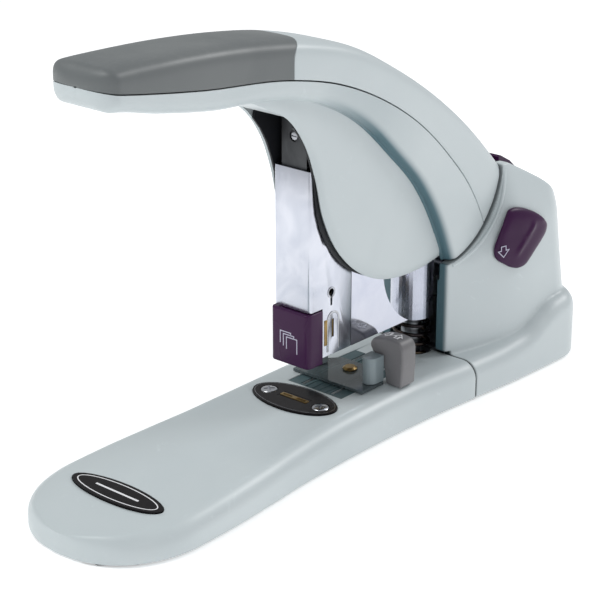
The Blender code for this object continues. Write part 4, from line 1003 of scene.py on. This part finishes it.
# ---- jam release ----
release = {
    "outline": [
        (0.1291, 0.0886), (0.1360, 0.0876), (0.1415, 0.0854), (0.1480, 0.0818), (0.1527, 0.0778),
        (0.1545, 0.0750), (0.1539, 0.0723), (0.1500, 0.0680), (0.1449, 0.0639), (0.1405, 0.0602),
        (0.1373, 0.0579), (0.1325, 0.0572), (0.1275, 0.0586), (0.1232, 0.0612), (0.1195, 0.0636),
        (0.1172, 0.0662), (0.1166, 0.0689), (0.1190, 0.0767), (0.1218, 0.0815), (0.1247, 0.0859),
        (0.1265, 0.0880)],
    "centre": (0.1345, 0.0730), "proud": 0.0025, "under": 0.0009,
    "ridge": ((0.1410, 0.0774), (0.1300, 0.0667)), "ridgeHeight": 0.0007, "dish": (0.1265, 0.0775),
    "arrow": [(0.1187, 0.0716), (0.1217, 0.0716), (0.1217, 0.0694), (0.1236, 0.0694), (0.1202, 0.0660),
              (0.1168, 0.0694), (0.1187, 0.0694)],
}


def buttonSurface(y, z, share=0.0):
    # height of the button's face: a rolled rim, a ridge for the thumb and a shallow dish in front of it
    (ay, az), (by, bz) = release["ridge"]
    along = np.array((by - ay, bz - az))
    length = np.linalg.norm(along)
    t = min(max(np.dot((y - ay, z - az), along) / length**2, 0.0), 1.0)
    off = math.hypot(y - ay - t * along[0], z - az - t * along[1])
    crest = release["ridgeHeight"] * math.exp(-(off / 0.0017) ** 2)
    hollow = 0.0006 * math.exp(-(math.hypot(y - release["dish"][0], z - release["dish"][1]) / 0.0065) ** 2)
    rounding = max(1.0 - share**5, 0.0) ** 0.4
    return pedestalHalf(y, z) + release["under"] + (release["proud"] + crest - hollow) * rounding


def makeButtons():
    outline = closedCurve(release["outline"], 160)
    centre = np.array(release["centre"])
    loops = [[(pedestalHalf(y, z) + release["under"], y, z) for y, z in centre + 0.6 * (outline - centre)],
             [(pedestalHalf(y, z) + release["under"], y, z) for y, z in outline]]
    for share in (1.0, 0.995, 0.985, 0.97, 0.95, 0.92, 0.88, 0.82, 0.75, 0.66, 0.56, 0.46, 0.36, 0.26, 0.16,
                  0.06):  # rings from the rim inwards
        ring = centre + share * (outline - centre)
        loops.append([(buttonSurface(y, z, share) + (0.00005 if share == 1.0 else 0.0), y, z) for y, z in ring])
    right = loftShape("button", loops)
    left = mirroredCopy(right, "buttonLeft")
    place(right, "releaseButtonRight", "release", "purple_plastic", purplePlastic, "release_button_right",
          angle=60.0)
    place(left, "releaseButtonLeft", "release", "purple_plastic", purplePlastic, "release_button_left",
          angle=60.0)
    right = ribbonShape("arrow", release["arrow"], 0.00042, lambda p, lift: (buttonSurface(*p) + lift, *p), True)
    left = mirroredCopy(right, "arrowLeft")
    place(joined("arrows", right, left), "releaseArrows", "release", "purple_plastic", paleInk)


def makeReleaseShaft():
    # ends inside the buttons, short of their rolled rims
    low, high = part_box("release_shaft")
    centre = (0.5 * (low.y + high.y) - driverY, 0.5 * (low.z + high.z))
    reach = high.x - 0.0026
    shaft = rodShape("shaft", "X", centre, 0.5 * (high.z - low.z), -reach, reach)
    place(shaft, "releaseShaft", "release", "bright_steel", turnedSteel, "release_shaft")


makeButtons()
makeReleaseShaft()
print("release built")


# ---- anvil, badge and track in the base ----
def makeAnvilScrews():
    screw = {"radius": 0.0040, "bottom": 0.0201, "top": 0.0213, "cross": 0.00048, "reach": 0.0026,
             "deep": 0.0006}
    radius, top = screw["radius"], screw["top"]
    profile = [(radius, screw["bottom"]), (radius, top - 0.0003), (radius - 0.0002, top - 0.0001),
               (radius - 0.0006, top + 0.0001), (0.0006, top + 0.0003)]
    head = turnedShape("screwHead", profile, 40)
    floorLevel = top - screw["deep"]
    for across, along in ((screw["cross"], screw["reach"]), (screw["reach"], screw["cross"])):
        carve(head, boxShape("cross", (-across, across), (-along, along), (floorLevel, 0.05)))
    both = grown("anvilScrews", repeatedPiece, Source=head, Count=2, Start=(-base["anvilScrewX"], 0.0, 0.0),
                 Step=(2 * base["anvilScrewX"], 0.0, 0.0), Turn=1.4, Seed=11, Finish=turnedSteel)
    place(both, "anvilScrews", "base", "bright_steel", turnedSteel, "anvil_screw_left", "anvil_screw_right")


def makeBadgeRing():
    badgeY, badgeLong, badgeDeep = base["badge"]
    rise = float(np.interp(badgeY, *zip(*base["heights"])))
    level = base["height"] * rise + 0.0005  # on the badge's face
    inner = ovalPoints((0.0, badgeY), badgeLong - 0.0032, badgeDeep - 0.0018, 96)
    ring = ribbonShape("ring", inner, 0.00050, lambda p, lift: (p[0], p[1], level + lift), True)
    bar = ribbonShape("bar", [(-0.0130, badgeY), (0.0130, badgeY)], 0.0011,
                      lambda p, lift: (p[0], p[1], level + lift))
    place(joined("badgeLines", ring, bar), "badgeLines", "base", "black_plate", whiteInk)
    top = base["height"] + 0.0002
    rim = ovalPoints((0.0, 0.0), base["anvil"][0] - 0.0011, base["anvil"][1] - 0.0009, 96)
    edge = ribbonShape("edge", rim, 0.00016, lambda p, lift: (p[0], p[1], top + lift), True)
    place(edge, "anvilEdgeLine", "base", "black_plate", turnedSteel)


def makeAnvilInsert():
    # slim forming die, let into a black seat
    die = {"top": base["height"] + 0.0002, "half": 0.0080, "deep": 0.0013, "seatHalf": 0.0084,
           "seatDeep": 0.0028, "grooveX": 0.0041, "grooveHalf": 0.0028, "grooveDeep": 0.0006}
    top = die["top"]
    seat = boxShape("seat", (-die["seatHalf"], die["seatHalf"]), (-die["seatDeep"], die["seatDeep"]),
                    (top - 0.0011, top - 0.0001))
    place(seat, "anvilInsertSeat", "base", "black_plate", glossBlack)
    bar = boxShape("die", (-die["half"], die["half"]), (-die["deep"], die["deep"]), (top - 0.0010, top + 0.0003))
    for side in (-1, 1):
        centre = side * die["grooveX"]
        carve(bar, boxShape("groove", (centre - die["grooveHalf"], centre + die["grooveHalf"]),
                            (-die["grooveDeep"], die["grooveDeep"]), (top - 0.0001, 0.05)))
    softEdges(bar, 0.0001, 2)
    place(bar, "anvilInsert", "base", "brass", brassFinish, "anvil_insert")


def makeTrack():
    half, start, end = base["track"]
    low, high = base["height"] - 0.00088, base["height"] - 0.00045
    outline = rectPoints(-half + 0.0002, half - 0.0002, start + 0.0002, end - 0.0125)
    plate = prismShape("trackFloor", "Z", outline, low, high)
    carve(plate, prismShape("anvilEnd", "Z", anvilOutline(), 0.0, 0.05), springOpening())
    for side in (-1, 1):
        centre = side * base["slotX"]
        carve(plate, boxShape("slot", (centre - base["slotHalf"], centre + base["slotHalf"]),
                              (start + base["slotInset"], end - base["slotInset"]), (0.0, 0.05)))
    # pale plastic track, coloured dark teal as painted shade beneath the head
    place(plate, "trackFloor", "base", "pale_plastic", trackPaintedShade)
    rib = boxShape("rib", (-0.00025, 0.00025), (start + 0.001, end - 0.012), (high, high + 0.00035))
    ribs = grown("trackRibs", repeatedPiece, Source=rib, Count=4, Start=(-0.0060, 0.0, 0.0),
                 Step=(0.0040, 0.0, 0.0), Turn=0.0, Seed=3, Finish=trackPaintedShade)
    place(ribs, "trackRibs", "base", "pale_plastic", trackPaintedShade)


makeAnvilScrews()
makeBadgeRing()
makeAnvilInsert()
makeTrack()


def makeSpring():
    sizes = {"Turns": 11.0, "Radius": 0.0085, "Wire": 0.0010, "Height": 0.0530}
    spring = grown("mainSpring", coilTree(), Centre=(0.0, base["springY"], 0.0190), Finish=springSteel, **sizes)
    place(spring, "mainSpring", "base", "black_steel", springSteel, "main_spring", angle=60.0)


makeSpring()
print("base details built")


# ---- head ----
head = {
    "half": 0.01095, "sheet": 0.0012, "front": -0.0016, "depth": 0.0291, "bottom": 0.0420, "top": 0.1340,
    "fold": 0.0016, "capBottom": 0.0393, "capHeight": 0.0266, "capFront": -0.00375, "capLength": 0.0106,
    "capOverhang": 0.00075, "capCorner": 0.0026, "keyhole": (0.0134, 0.0731), "keyholeRadius": 0.0018,
    "beadY": 0.0146, "beadHalf": 0.0039, "beadFoot": 0.0440, "beadTop": 0.0592, "bladeHalf": 0.0063,
    "window": (0.0507, 0.0596), "stripY": (0.0084, 0.0108), "stripZ": (0.0477, 0.0602),
}


def channelPlan(outer, front, rear, radius, sheet):
    tight = max(radius - sheet, 0.0003)
    plan = [(-outer, rear)] + arcPoints((-outer + radius, front + radius), radius, 180, 270, 9)
    plan += arcPoints((outer - radius, front + radius), radius, 270, 360, 9)
    plan += [(outer, rear), (outer - sheet, rear)]
    inner = outer - sheet
    plan += arcPoints((inner - tight, front + sheet + tight), tight, 360, 270, 5)
    plan += arcPoints((-inner + tight, front + sheet + tight), tight, 270, 180, 5) + [(-inner, rear)]
    return plan


def makeSheath():
    outer = head["half"]
    plan = channelPlan(outer, head["front"], head["front"] + head["depth"], head["fold"], head["sheet"])
    sheath = prismShape("sheath", "Z", plan, head["bottom"], head["top"])
    capRear = head["capFront"] + head["capLength"]
    capTop = head["capBottom"] + head["capHeight"]
    carve(sheath, boxShape("capRoom", (-0.02, 0.02), (-0.02, capRear + 0.0003), (0.0, capTop + 0.0006)))
    ky, kz = head["keyhole"]
    keyhole = arcPoints((ky, kz), head["keyholeRadius"], -65, 245, 28) + [(ky - 0.0006, kz - 0.0064),
                                                                         (ky + 0.0006, kz - 0.0064)]
    window = rectPoints(ky + 0.0003, ky + 0.0019, *head["window"])
    carve(sheath, prismShape("keyhole", "X", keyhole, -0.02, 0.02),
          prismShape("window", "X", window, -0.02, 0.02))
    softEdges(sheath, 0.00012, 2, 50.0)
    place(sheath, "headSheath", "head", "bright_steel", brightSteel, "sheath", angle=30.0)

    parts = []
    arch = [(head["beadY"] - head["beadHalf"], head["beadFoot"])]
    arch += arcPoints((head["beadY"], head["beadTop"]), head["beadHalf"], 180, 0, 20)
    arch += [(head["beadY"] + head["beadHalf"], head["beadFoot"])]
    lobe = arcPoints((ky, kz), head["keyholeRadius"] + 0.0006, 290, -110, 26)
    for path, width, depth in ((arch, 0.0010, 0.00030), (lobe, 0.0005, 0.00022)):
        bead = ribbonShape("bead", path, width, lambda p, lift: (outer + lift, p[0], p[1]), False, depth)
        softEdges(bead, 0.00012, 2, 50.0)
        parts.append(bead)
    pair = joined("beads", *parts)
    place(joined("sheathBeads", pair, mirroredCopy(pair, "beadsLeft")), "sheathBeads", "head", "bright_steel",
          turnedSteel)
    strip = boxShape("strip", (outer - 0.0001, outer + 0.00028), head["stripY"], head["stripZ"])
    softEdges(strip, 0.0001, 2)
    strips = joined("strips", strip, mirroredCopy(strip, "stripLeft"))
    place(strips, "headBrassStrips", "head", "brass", brassFinish)


def makeDrawerCap():
    half = head["half"] + head["capOverhang"]
    front, rear = head["capFront"], head["capFront"] + head["capLength"]
    low, top = head["capBottom"], head["capBottom"] + head["capHeight"]
    corner = head["capCorner"]
    plan = [(-half, rear)] + arcPoints((-half + corner, front + corner), corner, 180, 270, 10)
    plan += arcPoints((half - corner, front + corner), corner, 270, 360, 10) + [(half, rear)]
    cap = prismShape("cap", "Z", plan, low, top)
    inner = head["half"] - head["sheet"]
    slit = head["bladeHalf"] + 0.0005
    softEdges(cap, 0.0006, 3)
    carve(cap, boxShape("hollow", (-inner, inner), (-0.0010, 0.02), (0.0, top - 0.0050)),
          boxShape("bladeSlit", (-slit, slit), (-0.0010, 0.0016), (0.0, 0.1)))
    place(cap, "drawerCap", "drawer", "purple_plastic", purplePlastic, "drawer_cap")
    marks = []
    sign = {"left": -0.0054, "wide": 0.0064, "high": 0.0552, "across": 0.0019, "down": 0.0012, "leg": 0.0060,
            "frontLeg": 0.0072, "hiddenLeg": 0.0012, "count": 3}  # staples nested one behind the other
    for k in range(sign["count"]):
        left = sign["left"] + sign["across"] * k
        right, high = left + sign["wide"], sign["high"] - sign["down"] * k
        foot = high - (sign["frontLeg"] if k == sign["count"] - 1 else sign["hiddenLeg"])
        path = [(left, high - sign["leg"]), (left, high), (right, high), (right, foot)]
        marks.append(ribbonShape("mark", path, 0.00048, lambda p, lift: (p[0], front - lift, p[1])))
    place(joined("marks", *marks), "capStapleMarks", "drawer", "purple_plastic", paleInk)


def makeDriverScrew():
    # cheese-head screw with a slot, clamping the blade to its carrier
    low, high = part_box("driver_screw")
    x, z = 0.5 * (low.x + high.x), 0.5 * (low.z + high.z)
    front, rear = low.y - driverY, high.y - driverY
    radius = 0.40 * (high.z - low.z)
    screw = rodShape("screw", "Y", (x, z), radius, front, rear, 40)
    softEdges(screw, 0.0003, 2)
    carve(screw, boxShape("slot", (x - 0.8 * radius, x + 0.8 * radius), (front - 0.001, front + 0.0006),
                          (z - 0.0004, z + 0.0004)))
    place(screw, "driverScrew", "driver", "bright_steel", plainSteel, "driver_screw")


makeSheath()
makeDrawerCap()
makeDriverScrew()


# ---- paper stop ----
knob = {
    "low": base["height"] + 0.0003, "front": 0.0405, "rear": 0.0510, "arrowY": 0.0458, "ink": 0.00045,
    "foot": [(0.0222, base["height"] + 0.0003), (0.0306, base["height"] + 0.0003)],
    "face": [(0.0320, 0.0375), (0.0316, 0.0415), (0.0296, 0.0440), (0.0262, 0.0446), (0.0190, 0.0442),
             (0.0140, 0.0426), (0.0122, 0.0396), (0.0134, 0.0366), (0.0178, 0.0335), (0.0208, 0.0290),
             (0.0214, 0.0250)],
    "crown": [(0.0140, 0.0426), (0.0190, 0.0442), (0.0262, 0.0446), (0.0296, 0.0440)],
    "arrows": [(0.0192, -1.0), (0.0252, 1.0)],
    "arrow": [(-0.0010, -0.0023), (0.0010, -0.0023), (0.0010, -0.0001), (0.0023, -0.0001), (0.0, 0.0024),
              (-0.0023, -0.0001), (-0.0010, -0.0001)],
}


def knobPoint(p, lift):
    return p[0], p[1], float(np.interp(p[0], *zip(*knob["crown"]))) + 0.00022 + lift


def makeKnob():
    face = [(0.0316, knob["low"] + 0.0010), *knob["face"], knob["foot"][0]]
    outline = knob["foot"] + [tuple(p) for p in curveAt(face, 60)[:-1]]
    body = prismShape("knob", "Y", outline, knob["front"], knob["rear"])
    softEdges(body, 0.0011, 4, 50.0)
    place(body, "guideKnob", "guide", "knob_plastic", knobPlastic, "guide_knob")
    arrows = []
    for centreX, way in knob["arrows"]:
        path = [(centreX + a, knob["arrowY"] + way * b) for a, b in knob["arrow"]]
        arrows.append(ribbonShape("arrow", path, knob["ink"], knobPoint, True, 0.00022))
    place(joined("knobArrows", *arrows), "knobArrows", "guide", "knob_plastic", whiteInk)


makeKnob()
print("head and stop built")

# ---- finishes for the CAD pieces that keep their shape ----
nodeFinishes = {
    "base_mat": matRubber, "base_plate": plainSteel, "nose_badge": glossBlack, "anvil_plate": glossBlack,
    "steel_yoke": plainSteel, "yoke_bolt_front_left": turnedSteel, "yoke_bolt_front_right": turnedSteel,
    "yoke_bolt_rear_left": turnedSteel, "yoke_bolt_rear_right": turnedSteel, "handle_pin": turnedSteel,
    "guide_post": plainSteel, "handle_frame": darkInside, "roller_axle": turnedSteel,
    "press_roller": turnedSteel, "handle_bar": plainSteel, "magazine_frame": plateSteel,
    "head_pin_lower": turnedSteel, "head_pin_upper": turnedSteel, "spring_cup": cupChrome,
    "driver_blade": blackSteel, "driver_carrier": blackSteel,
    "drawer_channel": brassFinish, "staple_rail": turnedSteel,
    "drawer_latch": plainSteel, "staple_pusher": glossBlack, "pusher_spring": turnedSteel,
    "guide_bar": smokyGuide, "guide_rivet": brassFinish, "guide_stop_left": stopPlastic,
    "guide_stop_right": stopPlastic,  "release_tab": purplePlastic,
}
for nodeName, finish in nodeFinishes.items():
    for materialSlot in cadNodes[nodeName].material_slots:
        materialSlot.material = finish

# ---- floor, light and camera ----
view = {"lens": 114.0, "sensor": 36.0, "spot": (0.5384, -0.6095, 0.3864), "aim": (0.0, 0.0039, 0.0692)}
studio = {"floor": (0.95, 0.95, 0.95), "glow": 0.36, "sky": (0.96, 0.98, 1.0), "skyPower": 0.47,
          "lamps": (("keyLight", (-0.50, -0.80, 1.45), (0, 0, 0.06), 0.7, 11.0, (0.98, 1.0, 0.99)),
                    ("fillLight", (1.30, -0.75, 0.55), (0, 0, 0.06), 0.8, 1.4, (0.96, 0.95, 1.0)),
                    ("rimLight", (0.55, 1.20, 1.10), (0, 0, 0.10), 0.6, 9.0, (1.0, 1.0, 1.0)))}


def facing(spot, aim):
    return (Vector(aim) - Vector(spot)).to_track_quat("-Z", "Y").to_euler()


def makeStudio():
    reach = 6.0  # the floor runs past every view
    floor = addShape("floor", [(-reach, -reach, 0), (reach, -reach, 0), (reach, reach, 0), (-reach, reach, 0)],
                     [(0, 1, 2, 3)])
    floor.data.materials.append(plasticFinish("floorPaper", studio["floor"], studio["floor"], 0.8, dust=0.0,
                                              strength=0.05, rubbed=studio["floor"]))
    paper = floor.data.materials[0].node_tree.nodes["Principled BSDF"]
    paper.inputs["Emission Color"].default_value = (1.0, 1.0, 1.0, 1.0)
    paper.inputs["Emission Strength"].default_value = studio["glow"]
    sky = bpy.data.worlds.new("studioSky")
    sky.use_nodes = True
    sky.node_tree.nodes["Background"].inputs["Color"].default_value = (*studio["sky"], 1.0)
    sky.node_tree.nodes["Background"].inputs["Strength"].default_value = studio["skyPower"]
    scene.world = sky
    for name, spot, aim, size, power, tint in studio["lamps"]:
        lamp = bpy.data.lights.new(name, "AREA")
        lamp.size = size
        lamp.energy = power
        lamp.color = tint
        holder = bpy.data.objects.new(name, lamp)
        holder.location = spot
        holder.rotation_euler = facing(spot, aim)
        scene.collection.objects.link(holder)
    lens = bpy.data.cameras.new("camera")
    lens.lens = view["lens"]
    lens.sensor_width = view["sensor"]
    lens.clip_start = 0.05
    lens.clip_end = 40.0
    camera = bpy.data.objects.new("camera", lens)
    camera.location = Vector(view["spot"]) + Vector((0.0, driverY, 0.0))
    camera.rotation_euler = facing(view["spot"], view["aim"])
    scene.collection.objects.link(camera)
    scene.camera = camera


makeStudio()
scene.view_settings.view_transform = "Standard"
print("studio ready")
